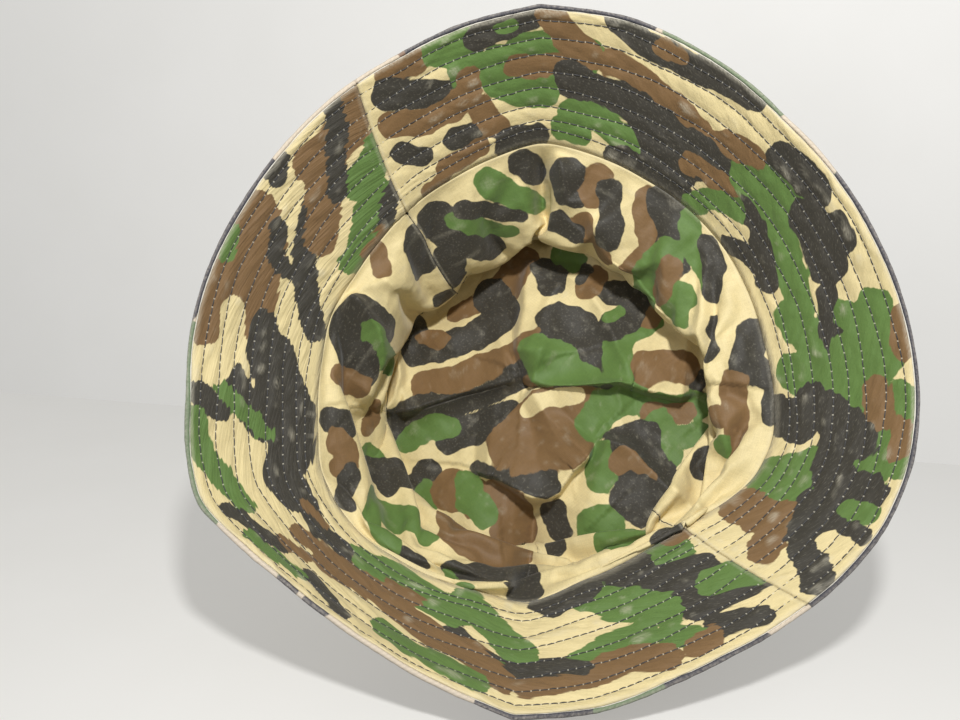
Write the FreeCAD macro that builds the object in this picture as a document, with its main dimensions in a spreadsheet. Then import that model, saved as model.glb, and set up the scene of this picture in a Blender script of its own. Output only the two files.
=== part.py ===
# Bucket hat, millimetres. It stands on its brim with the crown up: +Z is up, the origin is on the
# hat's axis in the plane that the rim rests on, and the side seams lie on the X axis.
#
# Two cloth shells are sewn together at the rim and at the crown seam. Each shell is a round tip, a
# side band in two halves and a brim in two halves. A stiff interlining lies between the two brims,
# and rows of lockstitch go round them.
import FreeCAD, Part, Sketcher
import os

os.makedirs("parts", exist_ok=True)
doc = FreeCAD.newDocument("bucket_hat")

# ---------------------------------------------------------------------------------------------
# Driving sizes
# ---------------------------------------------------------------------------------------------
DRIVING_SIZES = {
    # the head opening, at the lining's inner face: a 58 cm head
    "opening_radius": 92.5,
    # the lining's tip, at its inner face
    "tip_radius": 82.0,
    # from the opening's edge up to the lining's tip
    "crown_rise": 88.0,
    # from the opening's edge down the slope to the rim
    "brim_width": 61.0,
    # below the level, in degrees
    "brim_slope": 40.0,
    # cloth thicknesses
    "twill_thick": 0.6,
    "lining_thick": 0.35,
    "interlining_thick": 0.8,
    # air between the two crowns
    "crown_gap": 1.8,
    # how far the twill is turned under at the rim, and how wide it is pressed flat there
    "rim_roll": 2.6,
    "rim_flat": 1.0,
    # the interlining stops short of the crown seam, of the turned rim and of the brim's seams
    "interlining_start": 3.0,
    "interlining_rim_gap": 0.55,
    "interlining_gap_angle": 0.4,
    # sewing thread
    "thread_thick": 0.35,
    # the stitched rows: the first one's distance from the rim, and the last one's from the opening
    "first_row": 6.5,
    "last_row": 8.9,
    # the row beside the crown seam, measured from the outer band
    "crown_edge_row": 1.9,
    # how far a hidden ring of thread stands above the seam's corner
    "seam_thread_rise": 1.2,
    # the brim's two seam threads lie this far to either side of the seam's plane
    "seam_thread_offset": 0.25,
}
BRIM_ROWS = 7

sizes = doc.addObject("Spreadsheet::Sheet", "sizes")
for row, (alias, value) in enumerate(DRIVING_SIZES.items(), start=1):
    sizes.set(f"A{row}", alias)
    sizes.set(f"B{row}", str(value))
    sizes.setAlias(f"B{row}", alias)
doc.recompute()


def size(alias):
    return f"sizes.{alias}"


def thickness_to(*aliases):
    """The sum of some sizes, as an expression."""
    return " + ".join(size(alias) for alias in aliases) or "0"


# ---------------------------------------------------------------------------------------------
# Where a point of the hat is, as a pair of expressions (radius, height)
# ---------------------------------------------------------------------------------------------
# Each layer of the brim lies at a distance from the underside of the lining, square to the slope.
BRIM_LINING_TOP = size("lining_thick")
BRIM_CORE_TOP = thickness_to("lining_thick", "interlining_thick")
BRIM_TOP = thickness_to("lining_thick", "interlining_thick", "twill_thick")
TURNED_UNDER = f"{size('lining_thick')} - {size('twill_thick')}"

# Each layer of the crown lies at a distance from the inner face of the lining.
CROWN_LINING_OUT = size("lining_thick")
CROWN_TWILL_IN = thickness_to("lining_thick", "crown_gap")
CROWN_TWILL_OUT = thickness_to("lining_thick", "crown_gap", "twill_thick")

# The opening's edge is as high as makes the pressed flat of the rim touch the ground.
OPENING_HEIGHT = (
    f"((sizes.brim_width - sizes.rim_flat) * sin(sizes.brim_slope)"
    f" + (sizes.twill_thick - sizes.lining_thick) * cos(sizes.brim_slope))"
)
TAPER = "((sizes.opening_radius - sizes.tip_radius) / sizes.crown_rise)"


def on_brim(down, out):
    """A point so far down the slope from the opening's edge, and so far out of the underside."""
    slope = size("brim_slope")
    radius = f"{size('opening_radius')} + ({down}) * cos({slope}) + ({out}) * sin({slope})"
    height = f"{OPENING_HEIGHT} - ({down}) * sin({slope}) + ({out}) * cos({slope})"
    return radius, height


def on_crown(rise, out):
    """A point so high above the opening's edge, and so far out of the lining's inner face."""
    radius = f"{size('opening_radius')} + ({out}) - ({rise}) * {TAPER}"
    height = f"{OPENING_HEIGHT} + ({rise})"
    return radius, height


def crown_corner(crown_out, brim_out):
    """Where a layer of the crown meets a layer of the brim."""
    slope = size("brim_slope")
    above_brim = f"({brim_out}) / cos({slope}) - ({crown_out}) * tan({slope})"
    rise = f"({above_brim}) / (1 - {TAPER} * tan({slope}))"
    return on_crown(rise, crown_out)


# ---------------------------------------------------------------------------------------------
# Makers
# ---------------------------------------------------------------------------------------------
made = []


def origin_plane(body, role):
    return next(f for f in body.Origin.OriginFeatures if f.Role == role)


def new_body(label):
    body = doc.addObject("PartDesign::Body", label)
    body.Label = label
    made.append(body)
    return body


def outline_sketch(body, outline):
    """A closed outline on the body's YZ plane, with every corner held by two named distances."""
    sketch = body.newObject("Sketcher::SketchObject", f"{body.Label}_outline")
    sketch.AttachmentSupport = [(origin_plane(body, "YZ_Plane"), "")]
    sketch.MapMode = "FlatFace"
    corners = [
        FreeCAD.Vector(float(sizes.evalExpression(radius)), float(sizes.evalExpression(height)), 0)
        for radius, height in outline
    ]
    for i, corner in enumerate(corners):
        sketch.addGeometry(Part.LineSegment(corner, corners[(i + 1) % len(corners)]), False)
    for i in range(len(outline)):
        sketch.addConstraint(Sketcher.Constraint("Coincident", i, 2, (i + 1) % len(outline), 1))
    for i, (radius, height) in enumerate(outline):
        ways = (("DistanceX", radius, corners[i].x), ("DistanceY", height, corners[i].y))
        for way, distance, at in ways:
            name = f"{way}_{i}"
            index = sketch.addConstraint(Sketcher.Constraint(way, -1, 1, i, 1, at))
            sketch.renameConstraint(index, name)
            sketch.setExpression(f"Constraints.{name}", distance)
    return sketch


def half_ring(label, outline, at_the_back, gap_angle="0"):
    """Half a turn of an outline, at the back (+Y) or the front (-Y)."""
    body = new_body(label)
    sketch = outline_sketch(body, outline)
    turn = body.newObject("PartDesign::Revolution", f"{label}_turn")
    turn.Profile = sketch
    turn.ReferenceAxis = (sketch, ["V_Axis"])
    turn.Midplane = True
    turn.setExpression("Angle", f"180 - 2 * ({gap_angle})")
    sketch.Visibility = False
    if not at_the_back:
        body.Placement = FreeCAD.Placement(
            FreeCAD.Vector(), FreeCAD.Rotation(FreeCAD.Vector(0, 0, 1), 180)
        )


def two_halves(name, outline, gap_angle="0"):
    for side in ("front", "back"):
        half_ring(f"{name}_{side}", outline, side == "back", gap_angle)


def disc(label, edge, thick):
    """A flat round panel, whose lower edge is at a (radius, height)."""
    radius, height = edge
    body = new_body(label)
    sketch = body.newObject("Sketcher::SketchObject", f"{label}_outline")
    sketch.AttachmentSupport = [(origin_plane(body, "XY_Plane"), "")]
    sketch.MapMode = "FlatFace"
    sketch.setExpression("AttachmentOffset.Base.z", height)
    first_radius = float(sizes.evalExpression(radius))
    sketch.addGeometry(Part.Circle(FreeCAD.Vector(), FreeCAD.Vector(0, 0, 1), first_radius), False)
    sketch.addConstraint(Sketcher.Constraint("Coincident", 0, 3, -1, 1))
    index = sketch.addConstraint(Sketcher.Constraint("Radius", 0, first_radius))
    sketch.renameConstraint(index, "edge_radius")
    sketch.setExpression("Constraints.edge_radius", radius)
    pad = body.newObject("PartDesign::Pad", f"{label}_pad")
    pad.Profile = sketch
    pad.setExpression("Length", thick)
    sketch.Visibility = False


def thread_ring(name, centre):
    """A thread that lies in a ring, with its middle at a (radius, height)."""
    radius, height = centre
    ring = doc.addObject("Part::Torus", name)
    ring.setExpression("Radius1", radius)
    ring.setExpression("Radius2", f"{size('thread_thick')} / 2")
    ring.setExpression("Placement.Base.z", height)
    return ring


def straight_thread(name, start, long, lean, side, offset="0"):
    """A straight thread beside the XZ plane, from a (radius, height), on the +X or the -X side.

    It leans outwards from the upright by an angle."""
    radius, height = start
    thread = doc.addObject("Part::Cylinder", name)
    upright = FreeCAD.Rotation(FreeCAD.Vector(0, side, 0), 1)
    thread.Placement = FreeCAD.Placement(FreeCAD.Vector(), upright)
    thread.setExpression("Radius", f"{size('thread_thick')} / 2")
    thread.setExpression("Height", long)
    thread.setExpression("Placement.Base.x", f"{side} * ({radius})")
    thread.setExpression("Placement.Base.y", offset)
    thread.setExpression("Placement.Base.z", height)
    thread.setExpression("Placement.Rotation.Angle", lean)
    return thread


def one_piece(label, item):
    item.Label = label
    made.append(item)


def thread_group(label, threads):
    group = doc.addObject("Part::Compound", label)
    group.Links = threads
    one_piece(label, group)


# ---------------------------------------------------------------------------------------------
# Inner shell: thin cotton
# ---------------------------------------------------------------------------------------------
opening_edge = on_crown("0", "0")
lining_corner = crown_corner(CROWN_LINING_OUT, BRIM_LINING_TOP)

disc("inner_tip", on_crown(size("crown_rise"), CROWN_LINING_OUT), size("lining_thick"))
two_halves(
    "inner_side",
    [
        opening_edge,
        lining_corner,
        on_crown(size("crown_rise"), CROWN_LINING_OUT),
        on_crown(size("crown_rise"), "0"),
    ],
)

lining_end = f"{size('brim_width')} - {size('rim_roll')}"
two_halves(
    "inner_brim",
    [
        opening_edge,
        on_brim(lining_end, "0"),
        on_brim(lining_end, BRIM_LINING_TOP),
        lining_corner,
    ],
)

# ---------------------------------------------------------------------------------------------
# Interlining, between the two brims
# ---------------------------------------------------------------------------------------------
fold_inside = f"{size('brim_width')} - {size('twill_thick')}"
interlining_end = f"{fold_inside} - {size('interlining_rim_gap')}"
two_halves(
    "brim_interlining",
    [
        on_brim(size("interlining_start"), BRIM_LINING_TOP),
        on_brim(interlining_end, BRIM_LINING_TOP),
        on_brim(interlining_end, BRIM_CORE_TOP),
        on_brim(size("interlining_start"), BRIM_CORE_TOP),
    ],
    size("interlining_gap_angle"),
)

# ---------------------------------------------------------------------------------------------
# Outer shell: ribbed twill
# ---------------------------------------------------------------------------------------------
outer_tip_rise = f"{size('crown_rise')} + {size('lining_thick')} + {size('crown_gap')}"
# The outer band keeps the lining's taper, measured from the same two rings.
outer_top_out = f"{CROWN_TWILL_OUT} + ({size('lining_thick')} + {size('crown_gap')}) * {TAPER}"
outer_top_in = f"{CROWN_TWILL_IN} + ({size('lining_thick')} + {size('crown_gap')}) * {TAPER}"
twill_corner_in = crown_corner(CROWN_TWILL_IN, BRIM_CORE_TOP)
twill_corner_out = crown_corner(CROWN_TWILL_OUT, BRIM_TOP)

disc("outer_tip", on_crown(outer_tip_rise, outer_top_out), size("twill_thick"))
two_halves(
    "outer_side",
    [
        twill_corner_in,
        twill_corner_out,
        on_crown(outer_tip_rise, outer_top_out),
        on_crown(outer_tip_rise, outer_top_in),
    ],
)

# The twill goes down the slope, round the rim, and a little way back under it. The fold's lower
# edge is pressed flat, level with the ground.
flat_start = f"{size('brim_width')} - {size('rim_flat')}"
flat_end_out = f"{TURNED_UNDER} + {size('rim_flat')} * tan({size('brim_slope')})"
two_halves(
    "outer_brim",
    [
        twill_corner_in,
        on_brim(fold_inside, BRIM_CORE_TOP),
        on_brim(fold_inside, BRIM_LINING_TOP),
        on_brim(lining_end, BRIM_LINING_TOP),
        on_brim(lining_end, TURNED_UNDER),
        on_brim(flat_start, TURNED_UNDER),
        on_brim(size("brim_width"), flat_end_out),
        on_brim(size("brim_width"), BRIM_CORE_TOP),
        on_brim(fold_inside, BRIM_TOP),
        twill_corner_out,
    ],
)

# ---------------------------------------------------------------------------------------------
# Stitched rows of the brim: each is a needle thread below and a bobbin thread above
# ---------------------------------------------------------------------------------------------
thread_half = f"{size('thread_thick')} / 2"


def stitched_row(label, down):
    needle = thread_ring(f"{label}_needle", on_brim(down, f"0 - {thread_half}"))
    bobbin = thread_ring(f"{label}_bobbin", on_brim(down, f"{BRIM_TOP} + {thread_half}"))
    thread_group(label, [needle, bobbin])


row_pitch = f"(sizes.brim_width - sizes.first_row - sizes.last_row) / {BRIM_ROWS - 1}"
for number in range(1, BRIM_ROWS + 1):
    from_rim = f"{size('first_row')} + {number - 1} * ({row_pitch})"
    stitched_row(f"brim_stitch_row_{number}", f"{size('brim_width')} - ({from_rim})")
stitched_row("crown_edge_stitch", f"{size('crown_edge_row')} + {CROWN_TWILL_OUT}")

# ---------------------------------------------------------------------------------------------
# Hidden seams
# ---------------------------------------------------------------------------------------------
rise = size("seam_thread_rise")
# A thread touches a leaning wall, so its middle is a little more than its radius away level with it.
level_half = f"{thread_half} * sqrt(1 + {TAPER} ^ 2)"
outside_lining = f"{CROWN_LINING_OUT} + {level_half}"
inside_twill = f"{CROWN_TWILL_IN} - {level_half}"
below_lining_tip = f"{size('crown_rise')} - {rise}"
below_outer_tip = f"{outer_tip_rise} - {rise}"

one_piece("inner_crown_seam_thread", thread_ring("inner_crown_ring", on_crown(rise, outside_lining)))
one_piece("outer_crown_seam_thread", thread_ring("outer_crown_ring", on_crown(rise, inside_twill)))
one_piece("inner_tip_seam_thread", thread_ring("inner_tip_ring", on_crown(below_lining_tip, outside_lining)))
one_piece("outer_tip_seam_thread", thread_ring("outer_tip_ring", on_crown(below_outer_tip, inside_twill)))

rim_channel = f"{fold_inside} - {size('interlining_rim_gap')} / 2"
on_lining = f"{BRIM_LINING_TOP} + {thread_half}"
under_twill = f"{BRIM_CORE_TOP} - {thread_half}"
one_piece("rim_seam_thread", thread_ring("rim_ring", on_brim(rim_channel, on_lining)))


def side_seams(label, out, top_rise):
    """The two seams of a side band, at +X and -X, between its lower and upper ring threads."""
    start = f"2 * {rise}"
    radius, height = on_crown(start, out)
    long = f"({top_rise} - 2 * {start}) * sqrt(1 + {TAPER} ^ 2)"
    threads = [
        straight_thread(f"{label}_{n}", (radius, height), long, f"atan(0 - {TAPER})", side)
        for n, side in enumerate((1, -1), start=1)
    ]
    thread_group(label, threads)


def brim_seams(label, out, offset):
    """The two seams of a brim, at +X and -X, in the gap between the interlining's halves."""
    start = size("interlining_start")
    long = f"{interlining_end} - ({start})"
    lean = f"90 + {size('brim_slope')}"
    threads = [
        straight_thread(f"{label}_{n}", on_brim(start, out), long, lean, side, offset)
        for n, side in enumerate((1, -1), start=1)
    ]
    thread_group(label, threads)


side_seams("inner_side_seam_threads", outside_lining, size("crown_rise"))
side_seams("outer_side_seam_threads", inside_twill, outer_tip_rise)
brim_seams("inner_brim_seam_threads", on_lining, size("seam_thread_offset"))
brim_seams("outer_brim_seam_threads", under_twill, f"0 - {size('seam_thread_offset')}")

# ---------------------------------------------------------------------------------------------
# Check and write
# ---------------------------------------------------------------------------------------------
doc.recompute()
for item in doc.Objects:
    if "Invalid" in item.State or "Error" in item.State:
        raise RuntimeError(f"{item.Label} did not compute: {item.State}")
for item in made:
    if item.Shape.isNull() or not item.Shape.isValid():
        raise RuntimeError(f"{item.Label} has no valid shape")
for item in made:
    item.Shape.exportStep(f"parts/{item.Label}.step")
    print(item.Label, len(item.Shape.Solids), "solid(s)", round(item.Shape.Volume, 1), "mm3")
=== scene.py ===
import math

import bpy
import numpy as np
from mathutils import Matrix, Vector
from mathutils.bvhtree import BVHTree
from mathutils.kdtree import KDTree


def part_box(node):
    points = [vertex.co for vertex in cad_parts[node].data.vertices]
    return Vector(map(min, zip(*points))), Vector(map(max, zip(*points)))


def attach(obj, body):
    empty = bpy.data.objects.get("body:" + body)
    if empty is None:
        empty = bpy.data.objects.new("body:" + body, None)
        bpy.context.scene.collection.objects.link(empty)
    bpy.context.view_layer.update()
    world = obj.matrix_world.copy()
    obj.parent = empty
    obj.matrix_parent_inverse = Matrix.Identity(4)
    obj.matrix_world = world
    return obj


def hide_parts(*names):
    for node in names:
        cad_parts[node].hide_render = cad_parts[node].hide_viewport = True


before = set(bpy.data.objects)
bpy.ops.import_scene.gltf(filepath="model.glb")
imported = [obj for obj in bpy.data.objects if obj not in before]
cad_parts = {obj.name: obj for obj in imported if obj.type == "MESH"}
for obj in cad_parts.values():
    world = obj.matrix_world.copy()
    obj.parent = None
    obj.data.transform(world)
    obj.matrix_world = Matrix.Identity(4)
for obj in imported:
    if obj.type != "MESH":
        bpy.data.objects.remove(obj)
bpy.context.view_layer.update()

mm = 0.001

# ------------------------------------------------------------------------------------------------
# Lie of the brim
# The brim is a stiff ring of three cloths that was stored folded and has taken a wavy, four-cornered
# set. Its width down the slope stays the same all round, so where the rim is drawn in it hangs lower.
# ------------------------------------------------------------------------------------------------
LINING_THICK = 0.35 * mm
CORE_THICK = 0.8 * mm
TWILL_THICK = 0.6 * mm
BRIM_TOP = LINING_THICK + CORE_THICK + TWILL_THICK
band_low, band_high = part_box("inner_side_back")
rim_low, rim_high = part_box("outer_brim_back")
opening_radius = band_high.x - LINING_THICK
opening_drop = band_low.z - rim_low.z
brim_width = math.hypot(rim_high.x - opening_radius, opening_drop)

# turn in degrees from the +X seam, and by how much the opening and the rim there differ from round
BRIM_SET = [
    (15, 1.0, -5.0), (28, 4.0, -1.0), (40, 8.0, -1.0), (54, 4.0, 1.5), (68, 1.0, -3.5), (86, 0.0, -9.5),
    (100, -0.5, -8.0), (112, -1.0, -5.5), (124, -0.5, -1.5), (138, 3.0, 1.5), (148, 5.5, 2.0),
    (158, 4.0, 1.0), (168, -1.5, -2.0), (178, -6.5, -6.0), (190, -8.0, -10.0), (200, -7.0, -10.5),
    (212, -4.5, -7.0), (226, 4.0, -8.0), (238, 2.5, -11.5), (250, 5.5, -14.0), (260, 7.5, -13.5),
    (270, 11.0, -11.0), (279, 11.5, -5.0), (288, 11.0, 4.5), (296, 7.0, 3.5), (304, 5.0, -0.5),
    (314, 3.0, -0.5), (325, 3.0, -3.0), (338, -0.5, -5.0), (350, -1.0, -5.5),
]
SET_TURNS = np.radians([point[0] for point in BRIM_SET])
FINE_TURNS = np.linspace(0, 2 * math.pi, 720, endpoint=False)


def smooth_ring(values, spread):
    """Values at SET_TURNS, joined round the ring and softened over a number of degrees."""
    fine = np.interp(FINE_TURNS, SET_TURNS, values, period=2 * math.pi)
    window = np.hanning(4 * spread + 1)
    padded = np.concatenate([fine[-2 * spread:], fine, fine[:2 * spread]])
    return np.convolve(padded, window / window.sum(), mode="valid")


opening_ring = opening_radius + smooth_ring([point[1] * mm for point in BRIM_SET], 5)
rim_ring = rim_high.x + smooth_ring([point[2] * mm for point in BRIM_SET], 4)


def round_the_ring(ring, turn):
    return np.interp(turn, FINE_TURNS, ring, period=2 * math.pi)


def bump(turn, middle, width):
    """One at a turn given in degrees, fading over a width in degrees either side."""
    away = (turn - math.radians(middle) + math.pi) % (2 * math.pi) - math.pi
    return np.exp(-((away / math.radians(width)) ** 2))


def brim_curl(turn):
    """How much steeper the slope is at the rim than at the opening."""
    curled_corners = math.radians(34) * bump(turn, 254, 24) + math.radians(8) * bump(turn, 196, 16)
    return math.radians(6) + curled_corners


def brim_surface(turn, down):
    """The underside of the lining at a turn and a distance down the slope, opening at height 0."""
    curl = brim_curl(turn)
    puckered = 1 - 0.07 * bump(turn, 255, 22)
    width = brim_width * puckered
    half = curl / 2
    chord = width * np.sin(half) / half
    inner = round_the_ring(opening_ring, turn)
    outer = round_the_ring(rim_ring, turn)
    start = np.arccos(np.clip((outer - inner) / chord, -1, 1)) - half
    slope = start + curl * down / brim_width
    radius = inner + (np.sin(slope) - np.sin(start)) * width / curl
    height = (np.cos(slope) - np.cos(start)) * width / curl
    return radius, height


RIM_CLEARANCE = 1.2 * mm
lowest = brim_surface(FINE_TURNS, np.full(720, brim_width))[1].min()
opening_height = RIM_CLEARANCE - lowest


SLOPE_REACH = 0.77


def ring_radius(down):
    """The brim's usual radius at a distance down its slope."""
    return opening_radius + SLOPE_REACH * down


def crease(turn, middle, reach):
    """A fold line running outwards at a turn in degrees, as a cusp whose sides reach so many degrees."""
    away = np.abs((turn - math.radians(middle) + math.pi) % (2 * math.pi) - math.pi)
    return np.exp(-away / math.radians(reach))


def on_brim(turn, down, out):
    """Points of the brim, so far out of the lining's underside."""
    def place(turn, down):
        radius, height = brim_surface(turn, down)
        along = down / brim_width
        fold = 2.2 * mm * along * (crease(turn, 226, 5) + 0.8 * crease(turn, 40, 4))
        radius = radius + fold
        return np.stack([radius * np.cos(turn), radius * np.sin(turn), height + opening_height], axis=-1)

    step = 0.2 * mm
    here = place(turn, down)
    round_way = place(turn + step / opening_radius, down) - here
    down_way = place(turn, down + step) - here
    normal = np.cross(down_way, round_way)
    normal /= np.linalg.norm(normal, axis=-1, keepdims=True)
    return here + normal * np.asarray(out)[..., None]


# ------------------------------------------------------------------------------------------------
# Brim lining
# Two half rings of thin printed cotton, joined by pressed-open seams at the hat's sides, lie under
# the brim. Rows of stitching hold them to the interlining, and the cloth puffs and puckers between.
# ------------------------------------------------------------------------------------------------
ROW_COUNT = 7
STITCH_PITCH = 3.4 * mm
rng = np.random.default_rng(4)
row_names = ["crown_edge_stitch"] + [f"brim_stitch_row_{n}" for n in range(ROW_COUNT, 0, -1)]
row_share = [(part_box(name)[1].x - opening_radius) / (rim_high.x - opening_radius) for name in row_names]
ROW_DOWN = [share * brim_width for share in row_share]
ROW_WANDER = [(rng.uniform(0, 2 * math.pi, 3), rng.uniform(0.2, 0.5, 3)) for _ in ROW_DOWN]
ROW_STITCHES = [round(2 * math.pi * ring_radius(down) / STITCH_PITCH) for down in ROW_DOWN]
LINING_END = brim_width - 1.2 * mm
CHANNEL_LINES = [2] + [8] * ROW_COUNT + [5]
MEAN_RADIUS = 0.118
PRINT_SPREAD = 1.13
UNREACHED = 40.0


def row_line(row, turn):
    """How far down the slope a stitched row runs: it wanders a little, as the presser foot does."""
    phases, sizes = ROW_WANDER[row]
    lobes = (3, 7, 13)
    wander = sum(size * np.sin(count * turn + phase) for count, phase, size in zip(lobes, phases, sizes))
    return ROW_DOWN[row] + wander * mm * min(1, ROW_DOWN[row] / (8 * mm))


def smooth_noise(u, v, seed):
    """Soft noise from -1 to 1 over two coordinates, with cells one unit wide."""
    cells = np.random.default_rng(seed).uniform(-1, 1, (257, 257))
    iu, iv = np.floor(u).astype(int), np.floor(v).astype(int)
    fu, fv = u - iu, v - iv
    fu, fv = fu * fu * (3 - 2 * fu), fv * fv * (3 - 2 * fv)
    iu, iv = iu % 256, iv % 256
    low = cells[iu, iv] * (1 - fu) + cells[iu + 1, iv] * fu
    high = cells[iu, iv + 1] * (1 - fu) + cells[iu + 1, iv + 1] * fu
    return low * (1 - fv) + high * fv


def quilted_lines(line_share, turn, end):
    """Spreads a cloth's lines so that some lie right on the stitched rows. Gives how far down each
    point is, its channel between rows, and its share of the way across that channel."""
    counts = np.array(CHANNEL_LINES)
    starts = np.concatenate([[0], np.cumsum(counts)])
    line = line_share * starts[-1]
    channel = np.clip(np.searchsorted(starts, line + 1e-6, side="right") - 1, 0, len(counts) - 1)
    share = np.clip((line - starts[channel]) / counts[channel], 0, 1)
    edges = np.stack([0 * turn] + [row_line(row, turn) for row in range(ROW_COUNT + 1)] + [0 * turn + end])
    index = np.arange(len(turn))
    upper, lower = edges[channel, index], edges[channel + 1, index]
    return upper + (lower - upper) * share, channel, share


def quilting(turn, channel, share, seed):
    """How far the cloth stands off its stitching, with puckers square to the rows."""
    arch = np.sin(math.pi * share) ** 0.75
    round_way = turn * MEAN_RADIUS / mm
    puckers = smooth_noise(round_way / 5.0 + share * 0.7, share * 0.7 + 9 * channel, seed)
    fine = smooth_noise(round_way / 3.6 - share * 0.9, share * 1.3 + 7 * channel, seed + 2)
    swell = smooth_noise(round_way / 19, 5.0 * channel, seed + 1)
    across_rows = channel + share
    crossing = smooth_noise(round_way / 10 + 1.2 * across_rows, 0.45 * across_rows, seed + 3)
    creases = np.clip(1 - np.abs(crossing) / 0.17, 0, 1)
    lift = 0.55 + 0.52 * puckers + 0.22 * fine + 0.2 * swell - 0.52 * creases
    return arch * np.maximum(lift, 0.08) * mm


def seam_skew(turn, down):
    """The side seams have been pulled round a little towards the rim."""
    lean = bump(turn, 0, 40) * 6.5 - bump(turn, 180, 40) * 5.5
    return turn + np.radians(lean) * down / brim_width


def unit_cut(name, columns, lines):
    """A square of cloth one unit wide and long, to be laid out by its shares across and along."""
    bpy.ops.object.select_all(action="DESELECT")
    bpy.ops.mesh.primitive_grid_add(
        x_subdivisions=columns, y_subdivisions=lines, size=1, location=(0.5, 0.5, 0))
    bpy.ops.object.transform_apply(location=True, rotation=True, scale=True)
    cut = bpy.context.object
    cut.name = name
    cut.data.name = name
    return cut


def points_of(piece):
    flat = np.empty(len(piece.data.vertices) * 3)
    piece.data.vertices.foreach_get("co", flat)
    return flat.reshape(-1, 3)


def move_points(piece, places):
    piece.data.vertices.foreach_set("co", np.asarray(places).ravel())
    piece.data.update()


def select_only(piece):
    bpy.ops.object.select_all(action="DESELECT")
    piece.select_set(True)
    bpy.context.view_layer.objects.active = piece


def apply_modifier(piece, kind, name, **settings):
    """Adds a modifier, sets it and applies it."""
    select_only(piece)
    modifier = piece.modifiers.new(name, kind)
    for key, value in settings.items():
        setattr(modifier, key, value)
    bpy.ops.object.modifier_apply(modifier=name)


def give_thickness(piece, thickness, side):
    """Gives a cloth its thickness on one side, and shades it smooth."""
    apply_modifier(piece, "SOLIDIFY", "cloth", thickness=thickness, offset=side)
    piece.data.polygons.foreach_set("use_smooth", [True] * len(piece.data.polygons))


def mark(piece, name, values):
    """Keeps a number for each point of a piece, for its material to read."""
    piece.data.attributes.new(name, "FLOAT", "POINT").data.foreach_set("value", np.asarray(values, float))


def hump(away, middle, width):
    """One at a middle, fading over a width either side."""
    return np.exp(-((away - middle) / width) ** 2)


def from_side_seam(share_round, down):
    """How far a place on a half ring lies from the nearer side seam, in mm."""
    return np.minimum(share_round, 1 - share_round) * math.pi * ring_radius(down) / mm


def lay_flat(piece, across, along):
    """The piece's UV map is the flat cut it was sewn from, in metres."""
    corners = np.empty(len(piece.data.loops), dtype=int)
    piece.data.loops.foreach_get("vertex_index", corners)
    flat = np.stack([np.asarray(across)[corners], np.asarray(along)[corners]], axis=-1)
    piece.data.uv_layers[0].data.foreach_set("uv", flat.ravel())


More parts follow.
